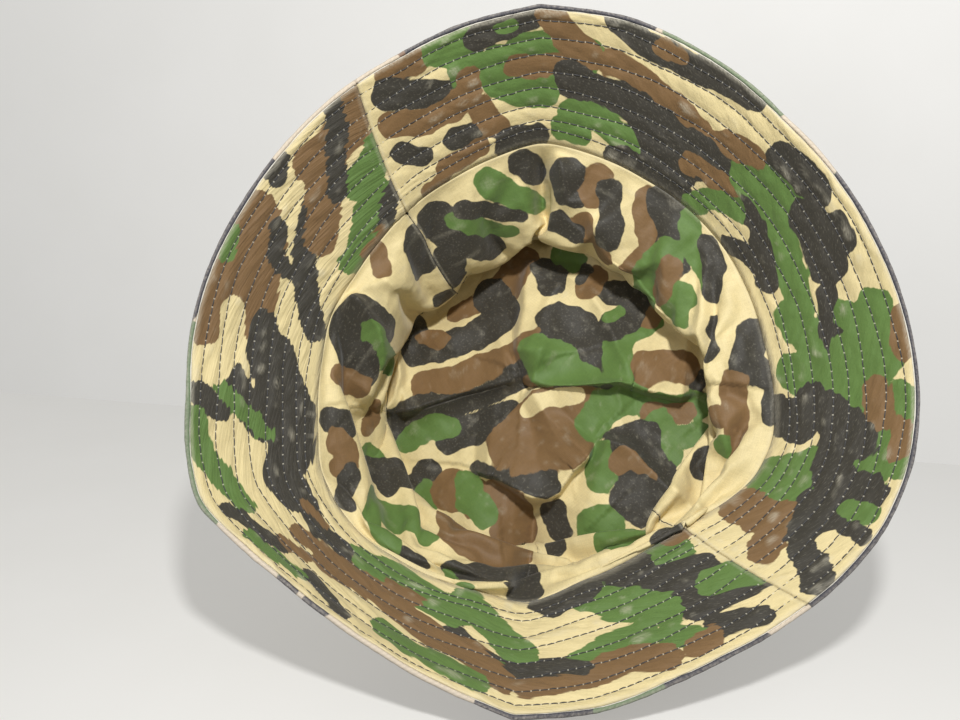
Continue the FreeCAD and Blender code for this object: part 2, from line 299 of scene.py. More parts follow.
# The print: blobs of three dyes and patches of bare cream, each laid over those before it. Each is a
# dye, a half width in mm and a line of places, as turn in degrees and millimetres down the slope.
DYES = ("green", "brown", "black")
BRIM_PRINT = {
    "back": [
        ("brown", 6, [(12, 57), (18, 56)]), ("black", 6, [(10, 50), (14, 45), (18, 39), (21, 35)]),
        ("green", 8, [(22, 58), (26, 52), (26, 44)]),
        ("brown", 5.5, [(8, 37), (14, 31), (21, 29), (25, 34), (26, 38)]),
        ("black", 4, [(7, 24), (11, 17)]), ("black", 5, [(20, 16), (24, 14)]),
        ("brown", 4, [(15, 7), (20, 6), (25, 8)]), ("brown", 3, [(8, 2), (12, 2)]),
        ("brown", 5, [(27, 24), (29, 14)]), ("green", 7, [(32, 42), (32, 33), (36, 27), (40, 25)]),
        ("green", 6, [(36, 45), (44, 45), (49, 42)]), ("black", 5.5, [(29, 55), (34, 57), (40, 58)]),
        ("green", 2.5, [(33, 56), (35, 56)]), ("brown", 6, [(42, 57), (46, 47), (49, 43)]),
        ("brown", 4.5, [(35, 38), (42, 36), (49, 40)]),
        ("brown", 5, [(53, 42), (58, 40), (64, 37), (70, 35), (75, 31)]),
        ("brown", 7, [(80, 33), (85, 37), (89, 35)]),
        ("black", 5, [(53, 60), (58, 54), (64, 54), (70, 55), (76, 57), (80, 59)]),
        ("brown", 3, [(61, 56), (65, 55)]),
        ("black", 7, [(46, 31), (50, 28), (56, 28), (61, 27), (65, 20)]),
        ("black", 9, [(62, 12), (68, 12), (74, 12)]), ("black", 8, [(66, 24), (71, 22), (77, 24)]),
        ("black", 5, [(80, 25), (86, 25), (91, 24)]),
        ("black", 5.5, [(95, 20), (100, 17), (105, 14), (109, 11)]),
        ("black", 4, [(96, 4), (101, 8), (108, 12)]),
        ("green", 5.5, [(47, 17), (52, 17), (57, 14), (61, 10)]), ("green", 5, [(45, 9), (49, 8)]),
        ("black", 6, [(60, 3), (70, 2), (79, 2)]), ("brown", 4.5, [(76, 18), (83, 20), (88, 20)]),
        ("green", 5, [(82, 4), (85, 11), (91, 16)]), ("cream", 3.5, [(88, 5), (93, 9), (96, 12)]),
        ("green", 5.5, [(87, 29), (92, 31), (98, 30), (104, 25), (111, 22), (118, 20)]),
        ("green", 7, [(119, 15), (124, 19), (128, 25), (131, 17)]),
        ("green", 5.5, [(92, 38), (97, 40), (100, 40)]), ("black", 6, [(90, 48), (95, 51), (100, 50)]),
        ("black", 8, [(102, 41), (107, 40), (112, 38)]), ("black", 6, [(106, 49), (109, 48)]),
        ("black", 5, [(117, 33), (123, 31), (128, 32)]),
        ("green", 6, [(122, 39), (125, 44), (121, 51)]),
        ("green", 9, [(129, 37), (131, 46), (128, 52)]), ("brown", 4, [(124, 59), (130, 58)]),
        ("black", 6, [(32, 5), (38, 4)]),
        ("green", 8, [(132, 12), (134, 24), (135, 33), (141, 45), (150, 46)]),
        ("green", 6, [(137, 54), (148, 58)]), ("brown", 5.5, [(136, 45), (141, 47)]),
        ("brown", 4, [(142, 56), (146, 56)]),
        ("green", 8, [(157, 5), (155, 14), (152, 22), (155, 30), (161, 20)]),
        ("black", 8, [(142, 3), (143, 12)]), ("black", 8, [(139, 18), (142, 28), (145, 38)]),
        ("black", 8, [(147, 30), (151, 30), (155, 38), (154, 48)]),
        ("brown", 8, [(166, 7), (166, 17), (164, 26)]), ("brown", 6, [(168, 27), (172, 30)]),
        ("black", 6, [(159, 30), (163, 34), (167, 41), (169, 50), (171, 56)]),
        ("black", 5, [(158, 36), (161, 46), (161, 54)]), ("cream", 4.5, [(164, 47), (164, 56)]),
        ("green", 4, [(157.5, 45), (157, 54)]),
    ],
    "front": [
        ("green", 7, [(190, 3), (186, 8), (186, 15)]), ("brown", 3.5, [(185, 2), (179, 1)]),
        ("black", 10, [(211, 1), (204, 3), (198, 8)]), ("black", 8, [(196, 16), (190, 18), (184, 22)]),
        ("black", 8, [(193, 26), (189, 32)]),
        ("black", 4, [(190, 37), (184, 38), (178, 40), (174, 42)]),
        ("green", 6, [(184, 29), (180, 31), (176, 36)]),
        ("black", 4.5, [(189, 47), (184, 50), (181, 54)]),
        ("green", 7, [(210, 9), (205, 17), (199, 23), (195, 30)]),
        ("green", 6, [(216, 40), (209, 35), (201, 36)]), ("green", 5, [(197, 40), (193, 46)]),
        ("brown", 6, [(224, 46), (214, 45), (205, 44), (199, 50)]),
        ("brown", 4.5, [(194, 51), (190, 51)]), ("black", 7, [(223, 7), (217, 4), (211, 3)]),
        ("green", 7, [(240, 8), (234, 14), (229, 23), (226, 31)]),
        ("cream", 5.5, [(230, 4), (225, 12), (219, 23), (213, 21)]),
        ("black", 3.5, [(240, 25), (235, 32), (229, 38), (221, 36), (214, 41)]),
        ("green", 7, [(264, 13), (256, 9), (248, 12), (241, 16)]),
        ("brown", 4, [(276, 29), (270, 24), (266, 22)]),
        ("brown", 6.5, [(268, 29), (262, 25), (256, 24), (250, 28), (243, 33), (235, 36), (229, 45)]),
        ("brown", 3, [(256, 15), (250, 17)]),
        ("green", 5.5, [(252, 43), (246, 47), (240, 49), (233, 51)]),
        ("black", 3.5, [(268, 44), (263, 48), (259, 53)]),
        ("black", 3, [(285, 52), (279, 47), (275, 43)]),
        ("green", 3.5, [(279, 54), (273, 50), (269, 50)]), ("brown", 2.5, [(276, 39), (271, 36)]),
        ("black", 10, [(313, 25), (306, 19), (299, 12), (293, 13)]),
        ("black", 8, [(289, 20), (284, 18)]), ("black", 4.5, [(281, 14), (275, 18), (269, 14)]),
        ("brown", 2, [(281, 15), (275, 13)]), ("black", 6, [(309, 45), (304, 36), (299, 27)]),
        ("black", 4.5, [(305, 57), (302, 47)]), ("green", 3, [(306, 47), (302, 37), (297, 25)]),
        ("green", 4.5, [(301, 58), (295, 55), (290, 47), (285, 43)]),
        ("brown", 9, [(338, 54), (330, 50), (322, 52), (317, 58)]),
        ("brown", 7, [(334, 42), (326, 36), (319, 35)]), ("green", 3.5, [(333, 60), (329, 57)]),
        ("cream", 5.5, [(320, 46), (314, 43), (309, 50)]), ("black", 6, [(319, 31), (313, 28)]),
        ("black", 5, [(346, 36), (340, 30), (334, 24), (327, 14), (321, 6)]),
        ("black", 3.5, [(338, 43), (332, 36), (331, 29)]), ("black", 4, [(348, 60), (345, 56)]),
        ("brown", 8, [(364, 55), (361, 47), (356, 47), (351, 47)]),
        ("brown", 7.5, [(353, 42), (348, 34), (345, 27), (341, 24)]),
        ("green", 6.5, [(364, 33), (360, 27), (355, 26)]),
        ("green", 6, [(358, 17), (352, 13), (347, 9), (341, 6)]),
        ("cream", 2.5, [(350, 22), (345, 16), (341, 13)]),
        ("black", 4.5, [(361, 60), (359, 50), (355, 40), (351, 31)]),
        ("black", 3.5, [(363, 15), (358, 9), (354, 4)]), ("brown", 2.5, [(352, 2), (344, 2)]),
    ],
}


def print_distances(places, blobs):
    """How far each place, in mm on the flat cut, lies outside the nearest edge of each dye, and of
    the bare cream cloth."""
    fields = {dye: np.full(len(places), UNREACHED) for dye in DYES}
    fields["cream"] = np.full(len(places), -UNREACHED)
    for dye, half_width, line in blobs:
        line = np.asarray(line, float)
        nearest = np.full(len(places), 1e9)
        for first, second in zip(line[:-1], line[1:]):
            run = second - first
            share = np.clip((places - first) @ run / (run @ run), 0, 1)
            away = np.linalg.norm(places - first - share[:, None] * run, axis=1)
            nearest = np.minimum(nearest, away)
        edge = nearest - half_width
        for other in fields:
            if other == dye:
                fields[other] = np.minimum(fields[other], edge)
            else:
                fields[other] = np.maximum(fields[other], -edge)
    return fields


def spread_out(turn, down):
    """The brim's print is laid out on a flat ring, in mm."""
    reach = opening_radius / mm + down
    return np.stack([reach * np.cos(turn), reach * np.sin(turn)], axis=-1)


def print_on(piece, fields):
    for dye, values in fields.items():
        mark(piece, dye, values)


class Wire:
    """A socket of a material's nodes, which adds and multiplies as a number does."""

    def __init__(self, tree, socket=None):
        self.tree = tree
        self.socket = socket

    def node(self, kind, settings=None, values=None, out=0):
        made = self.tree.nodes.new(kind)
        for name, value in (settings or {}).items():
            if name == "stops":
                for stop, (place, shade) in zip(made.color_ramp.elements, value):
                    stop.position = place
                    stop.color = shade
            else:
                setattr(made, name, value)
        for name, value in (values or {}).items():
            if isinstance(value, Wire):
                self.tree.links.new(value.socket, made.inputs[name])
            else:
                made.inputs[name].default_value = value
        return Wire(self.tree, made.outputs[out] if len(made.outputs) else None)

    def math(self, operation, first, second=0.0, clamp=False):
        settings = {"operation": operation, "use_clamp": clamp}
        return self.node("ShaderNodeMath", settings, {0: first, 1: second})

    def __add__(self, other):
        return self.math("ADD", self, other)

    def __sub__(self, other):
        return self.math("SUBTRACT", self, other)

    def __rsub__(self, other):
        return self.math("SUBTRACT", other, self)

    def __mul__(self, other):
        return self.math("MULTIPLY", self, other)

    def __truediv__(self, other):
        return self.math("DIVIDE", self, other)

    __radd__ = __add__
    __rmul__ = __mul__

    def clamped(self):
        return self.math("ADD", self, 0.0, clamp=True)

    def attribute(self, name):
        return self.node("ShaderNodeAttribute", {"attribute_name": name}, out="Fac")

    def flat_cut(self):
        return self.node("ShaderNodeUVMap", {"uv_map": "UVMap"})

    def noise(self, place, size, detail=2.0):
        """Noise centred on nought, in lumps of a size in metres."""
        values = {"Vector": place, "Scale": 1 / size, "Detail": detail}
        return (self.node("ShaderNodeTexNoise", {}, values) - 0.5) * 2

    def slubs(self, flat, stretch):
        """Thick places in the yarn, drawn out along one way of the cloth."""
        drawn_out = self.node("ShaderNodeMapping", {}, {"Vector": flat, "Scale": stretch})
        return self.noise(drawn_out, 0.5 * mm)

    def wave(self, place, pitch, direction):
        return self.node("ShaderNodeTexWave", {"bands_direction": direction},
                         {"Vector": place, "Scale": 1 / pitch / 3.1831, "Distortion": 0.0})

    def mixed(self, share, first, second, blend="MIX"):
        return self.node("ShaderNodeMix", {"data_type": "RGBA", "blend_type": blend},
                         {0: share, 6: first, 7: second}, out=2)

    def relief(self, height, strength, distance, beneath=None):
        """A surface raised by a height, on top of another relief where there is one."""
        values = {"Strength": strength, "Distance": distance, "Height": height}
        if beneath is not None:
            values["Normal"] = beneath
        return self.node("ShaderNodeBump", {}, values)

    def finish(self, colour, roughness, surface, others=None):
        """Ends a material with a skin of this colour, roughness and relief."""
        values = {"Base Color": colour, "Roughness": roughness, "Normal": surface, **(others or {})}
        skin = self.node("ShaderNodeBsdfPrincipled", {}, values)
        self.node("ShaderNodeOutputMaterial", {}, {"Surface": skin})


def blank_material(name):
    """A new material without nodes, and the wire that its nodes are drawn from."""
    material = bpy.data.materials.new(name)
    material.use_nodes = True
    material.node_tree.nodes.clear()
    return material, Wire(material.node_tree)


def shade_of(red, green, blue):
    """A colour as mixed for a screen, turned into light."""
    return tuple((part / 255) ** 2.2 for part in (red, green, blue)) + (1.0,)


def grey(wire, value):
    """A number as a grey colour, for tinting."""
    return wire.node("ShaderNodeCombineColor", {}, {0: value, 1: value, 2: value})


def printed_cloth(name, shades, thread, ribbed, roughness, pricked):
    """Printed cotton: dyed blobs with crisp, slightly bled edges, a weave, slubs and rubbed spots."""
    cloth, start = blank_material(name)
    flat = start.flat_cut()
    warp = start.wave(flat, thread, "X")
    weft = start.wave(flat, thread, "Y")
    if ribbed:
        weft = start.wave(flat, thread * 2.4, "DIAGONAL")
    slub = start.slubs(flat, (1.0, 0.12, 1.0)) + start.slubs(flat, (0.12, 1.0, 1.0))
    colour = shades["cream"]
    nearest = start.attribute("cream")
    for number, dye in enumerate(DYES):
        aside = (0.3 * number, 0.0, 0.0)
        shifted = start.node("ShaderNodeMapping", {}, {"Vector": flat, "Location": aside})
        wander = start.noise(shifted, 11 * mm, 1.0) * 4.4 + start.noise(shifted, 4 * mm, 1.0) * 1.6
        edge = start.attribute(dye) + wander
        inked = ((nearest - edge) / 0.9 + 0.5).clamped()
        colour = start.mixed(inked, colour, shades[dye])
        nearest = start.math("MINIMUM", nearest, edge)
    cloudy = start.noise(flat, 16 * mm, 3.0)
    speckle = start.noise(flat, 0.45 * mm, 2.0)
    tone = 1 + cloudy * 0.16 + speckle * 0.12 + slub * 0.10
    tone = tone * (0.90 + 0.1 * (warp + weft))
    colour = start.mixed(1.0, colour, grey(start, tone), "MULTIPLY")
    worn = start.attribute("worn") * (0.6 + start.noise(flat, 1.1 * mm, 3.0))
    flecks = (start.noise(flat, 1.0 * mm, 3.0) * 2.2 - 0.3).clamped() * inked * 0.2
    colour = start.mixed((worn + flecks).clamped(), colour, shades["rubbed"])
    if pricked:
        along = start.math("PINGPONG", start.attribute("stitch_count"), 0.5)
        near = start.attribute("row_distance")
        prick = (1.6 - near * 3.4).clamped() * (1.5 - along * 13).clamped()
        colour = start.mixed((prick * 0.62).clamped(), colour, shades["fibre"])
    height = (warp + weft) * 0.5 + slub * 0.35
    weave = start.relief(height, 0.55, 0.05 * mm)
    crumple = start.noise(flat, 5 * mm, 4.0) + start.noise(flat, 14 * mm, 2.0)
    surface = start.relief(crumple, 0.5, 0.5 * mm, weave)
    rough = (roughness + cloudy * 0.05 + speckle * 0.04).clamped()
    sheen = {"Sheen Weight": 0.12, "Sheen Roughness": 0.5, "Specular IOR Level": 0.35}
    start.finish(colour, rough, surface, sheen)
    return cloth


LINING_SHADES = {
    "cream": shade_of(220, 202, 150), "green": shade_of(93, 120, 62), "brown": shade_of(121, 94, 62),
    "black": shade_of(61, 58, 51), "rubbed": shade_of(205, 198, 176), "fibre": shade_of(214, 208, 190),
}
LINING_YARN = 0.42 * mm
printed_lining = printed_cloth(
    "printed_lining_cotton", LINING_SHADES, LINING_YARN, ribbed=False, roughness=0.62, pricked=True)


def mark_rows(piece, turn, down, channel, share):
    """Marks how far each point lies from its nearest row of stitching, and the stitches counted along."""
    row = np.clip(channel - (share < 0.5), 0, ROW_COUNT)
    lines = np.stack([row_line(each, turn) for each in range(ROW_COUNT + 1)])
    away = np.abs(down - lines[row, np.arange(len(turn))]) / mm
    count = np.array(ROW_STITCHES)[row] * turn / (2 * math.pi)
    mark(piece, "row_distance", away)
    mark(piece, "stitch_count", count)


for side, start in (("front", math.pi), ("back", 0.0)):
    cut = unit_cut(f"brim_lining_{side}", 340, sum(CHANNEL_LINES))
    share_round, share_down, _ = points_of(cut).T
    plain_turn = start + share_round * math.pi
    down, channel, share = quilted_lines(share_down, plain_turn, LINING_END)
    turn = seam_skew(plain_turn, down)
    down, channel, share = quilted_lines(share_down, turn, LINING_END)
    seam_away = from_side_seam(share_round, down)
    puff = quilting(turn, channel, share, 11)
    pressed_open = 0.28 * mm * hump(seam_away, 4.5, 1.6) + 0.5 * mm * hump(seam_away, 0, 2.5)
    puff = puff * (1 - 0.5 * hump(seam_away, 0, 5)) + pressed_open * np.clip(seam_away * 1.6, 0, 1)
    move_points(cut, on_brim(turn, down, -puff))
    lay_flat(cut, turn * ring_radius(down), down)
    blobs = []
    for dye, half_width, line in BRIM_PRINT[side]:
        turns, downs = np.array(line, float).T
        blobs.append((dye, half_width * PRINT_SPREAD, spread_out(np.radians(turns), downs)))
    print_on(cut, print_distances(spread_out(turn, down / mm), blobs))
    mark_rows(cut, turn, down, channel, share)
    ridges = np.clip((puff / mm - 0.78) * 1.6, 0, 0.5)
    rim_rub = 0.5 * np.clip((down - LINING_END) / mm + 1.5, 0, 1)
    seam_rub = 0.55 * hump(seam_away, 0.6, 0.6)
    opening_rub = 0.55 * hump(down / mm, 0, 0.9)
    mark(cut, "worn", np.maximum.reduce([ridges, rim_rub, seam_rub, opening_rub]))
    give_thickness(cut, LINING_THICK, -1)
    cut.data.materials.append(printed_lining)
    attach(cut, "root")
    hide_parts(f"inner_brim_{side}")

# ------------------------------------------------------------------------------------------------
# Brim interlining
# A stiff bonded-fibre core in two half rings lies between the brim's cloths and keeps it in shape.
# It stops short of the opening, the rim and the side seams, and the stitched rows hold it.
# ------------------------------------------------------------------------------------------------
CORE_START = 3.0 * mm
CORE_RIM_GAP = 0.6 * mm
CORE_SEAM_GAP = math.radians(0.4)


def bonded_fibre():
    felt, start = blank_material("bonded_fibre")
    flat = start.flat_cut()
    fibres = start.noise(flat, 0.6 * mm, 4.0)
    patches = start.noise(flat, 6 * mm, 2.0)
    pale = (0.5 + fibres * 0.4 + patches * 0.2).clamped()
    colour = start.mixed(pale, shade_of(196, 190, 176), shade_of(224, 220, 208))
    start.finish(colour, 0.9, start.relief(fibres, 0.6, 0.1 * mm))
    return felt


core_felt = bonded_fibre()
for side, start in (("front", math.pi), ("back", 0.0)):
    cut = unit_cut(f"brim_core_{side}", 180, 24)
    share_round, share_down, _ = points_of(cut).T
    turn = start + CORE_SEAM_GAP + share_round * (math.pi - 2 * CORE_SEAM_GAP)
    down = CORE_START + share_down * (brim_width - CORE_START - CORE_RIM_GAP)
    turn = seam_skew(turn, down)
    move_points(cut, on_brim(turn, down, 0 * down + LINING_THICK + 0.05 * mm))
    lay_flat(cut, turn * ring_radius(down), down)
    give_thickness(cut, CORE_THICK - 0.1 * mm, -1)
    cut.data.materials.append(core_felt)
    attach(cut, "root")
    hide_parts(f"brim_interlining_{side}")

# ------------------------------------------------------------------------------------------------
# Brim outer cloth
# Two half rings of ribbed, printed twill cover the top of the brim, turn round the rim as a soft
# roll, and are sewn back under it. The rows of stitching quilt them to the core.
# ------------------------------------------------------------------------------------------------
ROLL_RADIUS = 1.0 * mm
ROLL_OUT = BRIM_TOP - ROLL_RADIUS + 0.25 * mm
UNDER_TURN = 1.5 * mm
TWILL_END = brim_width - 0.6 * mm
TOP_SHARE = 0.86
ROLL_SHARE = 0.62
TWILL_LINES = 78
TWILL_SEEDS = {"front": 61, "back": 62}
TWILL_SHADES = {
    "cream": shade_of(205, 190, 168), "green": shade_of(104, 122, 92), "brown": shade_of(128, 100, 82),
    "black": shade_of(48, 50, 62), "rubbed": shade_of(206, 196, 182), "fibre": shade_of(214, 208, 190),
}
outer_twill = printed_cloth(
    "printed_outer_twill", TWILL_SHADES, 0.5 * mm, ribbed=True, roughness=0.72, pricked=False)


def scattered_print(seed, width, length, count):
    """Blobs of each dye strewn over a flat cut, in mm: bent bands that mostly run along the cloth."""
    draw = np.random.default_rng(seed)
    blobs = []
    for index in range(count):
        dye = DYES[min(2, index * 3 // count)]
        place = np.array([draw.uniform(-0.05, 1.05) * width, draw.uniform(-0.1, 1.1) * length])
        heading = draw.normal(0.35, 0.45) + (math.pi if draw.random() < 0.5 else 0)
        line = [place]
        for _ in range(draw.integers(2, 5)):
            heading += draw.normal(0, 0.55)
            place = place + draw.uniform(9, 17) * np.array([math.cos(heading), math.sin(heading)])
            line.append(place)
        blobs.append((dye, draw.uniform(4.2, 8.0), line))
        if draw.random() < 0.45:
            twig = line[1] + draw.uniform(10, 16) * np.array([-math.sin(heading), math.cos(heading)])
            blobs.append((dye, draw.uniform(3.5, 5.5), [line[1], twig]))
    return blobs


# Blobs that meet the rim: each is a dye and the turns in degrees between which it shows there.
RIM_PRINT = [
    ("black", 18, 58), ("green", 62, 84), ("cream", 88, 97), ("black", 101, 150), ("black", 158, 176),
    ("black", 184, 200), ("green", 203, 212), ("black", 216, 231), ("cream", 236, 258), ("black", 262, 264),
    ("black", 268, 269.5), ("cream", 273, 281), ("green", 285, 315), ("black", 320, 346),
]
RIM_REACH = 128.7
RIM_BLOB = 3.6
RIM_LINE = 63.0


def rim_blobs(start):
    """The rim's blobs that lie on the half ring that starts at a turn, as lines on its flat cut in mm."""
    blobs = []
    for dye, first, last in RIM_PRINT:
        if start <= math.radians(first) < start + math.pi:
            turns = np.radians(np.linspace(first, last, 6)) - start
            blobs.append((dye, RIM_BLOB, np.stack([turns * RIM_REACH, RIM_LINE + 0 * turns], axis=-1)))
    return blobs


for side, start in (("front", math.pi), ("back", 0.0)):
    cut = unit_cut(f"brim_twill_{side}", 340, TWILL_LINES)
    share_round, share_along, _ = points_of(cut).T
    plain_turn = start + share_round * math.pi
    on_top = np.clip(share_along / TOP_SHARE, 0, 1)
    down, channel, share = quilted_lines(on_top, plain_turn, TWILL_END)
    turn = seam_skew(plain_turn, down)
    down, channel, share = quilted_lines(on_top, turn, TWILL_END)
    beyond = np.clip((share_along - TOP_SHARE) / (1 - TOP_SHARE), 0, 1)
    round_rim = np.clip(beyond / ROLL_SHARE, 0, 1) * math.pi
    under = np.clip((beyond - ROLL_SHARE) / (1 - ROLL_SHARE), 0, 1)
    puff = 0.6 * quilting(turn, channel, share, 23) * (share_along < TOP_SHARE - 0.004)
    along_rim = turn * 140
    fat = 1 + 0.16 * smooth_noise(along_rim / 9, 0 * turn, 31)
    fat = fat + 0.08 * smooth_noise(along_rim / 2.5, 0 * turn, 33)
    roll = ROLL_RADIUS * fat
    blend_in = np.clip((down - brim_width + 5 * mm) / (4 * mm), 0, 1)
    rolled = share_along > TOP_SHARE
    top_out = BRIM_TOP + puff + blend_in * 0.25 * mm * fat
    out = np.where(rolled, ROLL_OUT + roll * np.cos(round_rim), top_out)
    roll_reach = TWILL_END + roll * 1.1 * np.sin(round_rim) - under * UNDER_TURN
    reach = np.where(rolled, roll_reach, down)
    out = np.where(under > 0, out + under * 1.4 * mm, out)
    move_points(cut, on_brim(turn, reach, out))
    path = np.where(rolled, brim_width + beyond * (math.pi * ROLL_RADIUS + UNDER_TURN), down)
    lay_flat(cut, turn * ring_radius(down), path)
    flat_mm = np.stack([(turn - start) * (opening_radius + 0.6 * down) / mm, path / mm], axis=-1)
    strewn = scattered_print(TWILL_SEEDS[side], width=365, length=66, count=42)
    print_on(cut, print_distances(flat_mm, strewn + rim_blobs(start)))
    ridges = np.clip((puff / mm - 0.5) * 1.2, 0, 0.3)
    seam_rub = 0.4 * hump(from_side_seam(share_round, down), 0.6, 0.7)
    roll_rub = 0.5 * hump(beyond, 0.31, 0.2) * rolled
    mark(cut, "worn", np.maximum.reduce([ridges, seam_rub, roll_rub]))
    give_thickness(cut, TWILL_THICK * 0.9, 1)
    cut.data.materials.append(outer_twill)
    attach(cut, "root")
    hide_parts(f"outer_brim_{side}")

# ------------------------------------------------------------------------------------------------
# Rows of stitching
# Black sewing thread, one thread above the brim and one below, lockstitched through all three cloths.
# Each stitch is a short bowed length that sinks into the cloth where the needle went through.
# ------------------------------------------------------------------------------------------------
THREAD_RADIUS = 0.24 * mm
THREAD_STAND = 0.12 * mm
STITCH_CUTS = (0.12, 0.3, 0.5, 0.7, 0.88)


def thread_stitch():
    """One stitch a unit long, along X, with its middle raised towards Z."""
    bpy.ops.object.select_all(action="DESELECT")
    bpy.ops.mesh.primitive_cylinder_add(
        vertices=5, radius=THREAD_RADIUS, depth=1, end_fill_type="TRIFAN",
        location=(0.5, 0, 0), rotation=(0, math.pi / 2, 0))
    bpy.ops.object.transform_apply(location=True, rotation=True, scale=True)
    bpy.ops.object.mode_set(mode="EDIT")
    for place in STITCH_CUTS:
        bpy.ops.mesh.select_all(action="SELECT")
        bpy.ops.mesh.bisect(plane_co=(place, 0, 0), plane_no=(1, 0, 0))
    bpy.ops.object.mode_set(mode="OBJECT")
    stitch = bpy.context.object
    places = points_of(stitch)
    arch = np.sin(math.pi * np.clip(places[:, 0], 0, 1)) ** 0.6
    places[:, 1:] *= (0.62 + 0.38 * arch)[:, None]
    places[:, 2] += (arch - 0.8) * 0.42 * mm
    move_points(stitch, places)
    stitch.data.uv_layers[0].name = "UVMap"
    return stitch


stitch_model = thread_stitch()


def sewn_line(name, count):
    """A row of so many stitches, a unit apart along X."""
    bpy.ops.object.select_all(action="DESELECT")
    line = stitch_model.copy()
    line.data = stitch_model.data.copy()
    bpy.context.collection.objects.link(line)
    line.name = name
    line.data.name = name
    apply_modifier(line, "ARRAY", "stitches", count=count, use_relative_offset=False,
                   use_constant_offset=True, constant_offset_displace=(1, 0, 0))
    line.data.polygons.foreach_set("use_smooth", [True] * len(line.data.polygons))
    return line


def sewing_thread(name, shade):
    thread, start = blank_material(name)
    place = start.node("ShaderNodeTexCoord", out="Object")
    plies = start.noise(place, 0.35 * mm, 2.0)
    faded = start.noise(place, 7 * mm, 2.0)
    lighter = tuple(0.6 * part + 0.12 for part in shade[:3]) + (1.0,)
    colour = start.mixed((0.3 + plies * 0.3 + faded * 0.3).clamped(), shade, lighter)
    start.finish(colour, 0.55, start.relief(plies, 0.6, 0.06 * mm))
    return thread


black_thread = sewing_thread("black_sewing_thread", shade_of(34, 33, 36))


def make_consistent(piece):
    """Turns every face of a piece outwards."""
    select_only(piece)
    bpy.ops.object.mode_set(mode="EDIT")
    bpy.ops.mesh.select_all(action="SELECT")
    bpy.ops.mesh.normals_make_consistent(inside=False)
    bpy.ops.object.mode_set(mode="OBJECT")


def finish_thread(piece, *nodes):
    make_consistent(piece)
    piece.data.materials.append(black_thread)
    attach(piece, "root")
    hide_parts(*nodes)


def join_pieces(name, pieces):
    bpy.ops.object.select_all(action="DESELECT")
    for piece in pieces:
        piece.select_set(True)
    bpy.context.view_layer.objects.active = pieces[0]
    bpy.ops.object.join()
    joined = bpy.context.object
    joined.name = name
    joined.data.name = name
    return joined


for row, (name, count) in enumerate(zip(row_names, ROW_STITCHES)):
    threads = []
    for face in ("below", "above"):
        line = sewn_line(f"{name}_{face}", count)
        places = points_of(line)
        turn = places[:, 0] / count * 2 * math.pi
        draw = np.random.default_rng(100 + row)
        stitch_index = np.clip(np.floor(places[:, 0] - 1e-4).astype(int), 0, count - 1)
        tension = draw.uniform(0.75, 1.25, count)[stitch_index]
        sideways = draw.uniform(-0.16, 0.16, count)[stitch_index] * mm
        down = row_line(row, turn) + places[:, 1] + sideways
        if face == "below":
            out = -places[:, 2] * tension - THREAD_STAND
        else:
            out = BRIM_TOP + places[:, 2] * tension + THREAD_STAND
        move_points(line, on_brim(turn, down, out))
        threads.append(line)
    finish_thread(join_pieces(f"thread_{name}", threads), name)

# ------------------------------------------------------------------------------------------------
# Outer crown
# A side band in two halves and a round tip, of the same ribbed twill, sewn into a cylinder with a
# flat top. Only the cloth holds it up, so it has slouched to one side and its band has buckled.
# ------------------------------------------------------------------------------------------------
outer_tip_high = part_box("outer_tip")[1]
outer_rise = outer_tip_high.z - band_low.z
outer_tip_radius = outer_tip_high.x
outer_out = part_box("outer_side_back")[1].x - opening_radius
BAND_START = 0.7 * mm
TIP_CELLS = 40
BAND_COLUMNS = 2 * TIP_CELLS
BAND_LINES = 21
SIM_SCALE = 10
LEAN_TURN = math.radians(40.5)
UP_WAY = np.array([math.cos(LEAN_TURN), math.sin(LEAN_TURN), 0.0])
RIGHT_WAY = np.array([-math.sin(LEAN_TURN), math.cos(LEAN_TURN), 0.0])


def round_cut(name, cells):
    """A round cut of cloth one unit in radius, from a square whose rings of cells become circles."""
    cut = unit_cut(name, cells, cells)
    square = points_of(cut)[:, :2] * 2 - 1
    a, b = square[:, 0], square[:, 1]
    ring = np.maximum(np.abs(a), np.abs(b))
    wide = np.abs(a) >= np.abs(b)
    share = np.where(wide, b / np.where(wide & (a != 0), a, 1), a / np.where(~wide & (b != 0), b, 1))
    angle = np.where(wide, math.pi / 4 * share, math.pi / 2 - math.pi / 4 * share)
    angle = angle + np.where(np.where(wide, a, b) < 0, math.pi, 0)
    move_points(cut, np.stack([ring * np.cos(angle), ring * np.sin(angle), 0 * ring], axis=-1))
    return cut


def on_crown(turn, rise, out, tall, top_radius):
    """Points of a crown band as sewn, before it slouches."""
    share = np.clip(rise / tall, 0, 1)
    radius = (round_the_ring(opening_ring, turn) + out) * (1 - share) + top_radius * share
    return np.stack([radius * np.cos(turn), radius * np.sin(turn), rise + opening_height], axis=-1)


def crown_as_sewn(piece, out, low, tall, top_radius):
    share = points_of(piece)
    if "tip" in piece.name:
        level = 0 * share[:, 0] + opening_height + tall
        return np.stack([share[:, 0] * top_radius, share[:, 1] * top_radius, level], axis=-1)
    start = math.pi if piece.name.endswith("front") else 0.0
    rise = low + share[:, 1] * (tall - low)
    return on_crown(start + share[:, 0] * math.pi, rise, out, tall, top_radius)


def leaning(sewn, tall, top_radius, least, most):
    """The crown drawn down towards one side, by amounts in mm."""
    rise_share = np.clip((sewn[:, 2] - opening_height) / tall, 0, 1)
    across, along = sewn @ RIGHT_WAY / top_radius, sewn @ UP_WAY / top_radius
    lean = 0.5 + 0.52 * (0.88 * across - 0.47 * along)
    drawn = sewn.copy()
    drawn[:, 2] -= (least + (most - least) * lean) * mm * rise_share
    return drawn, rise_share, across, along


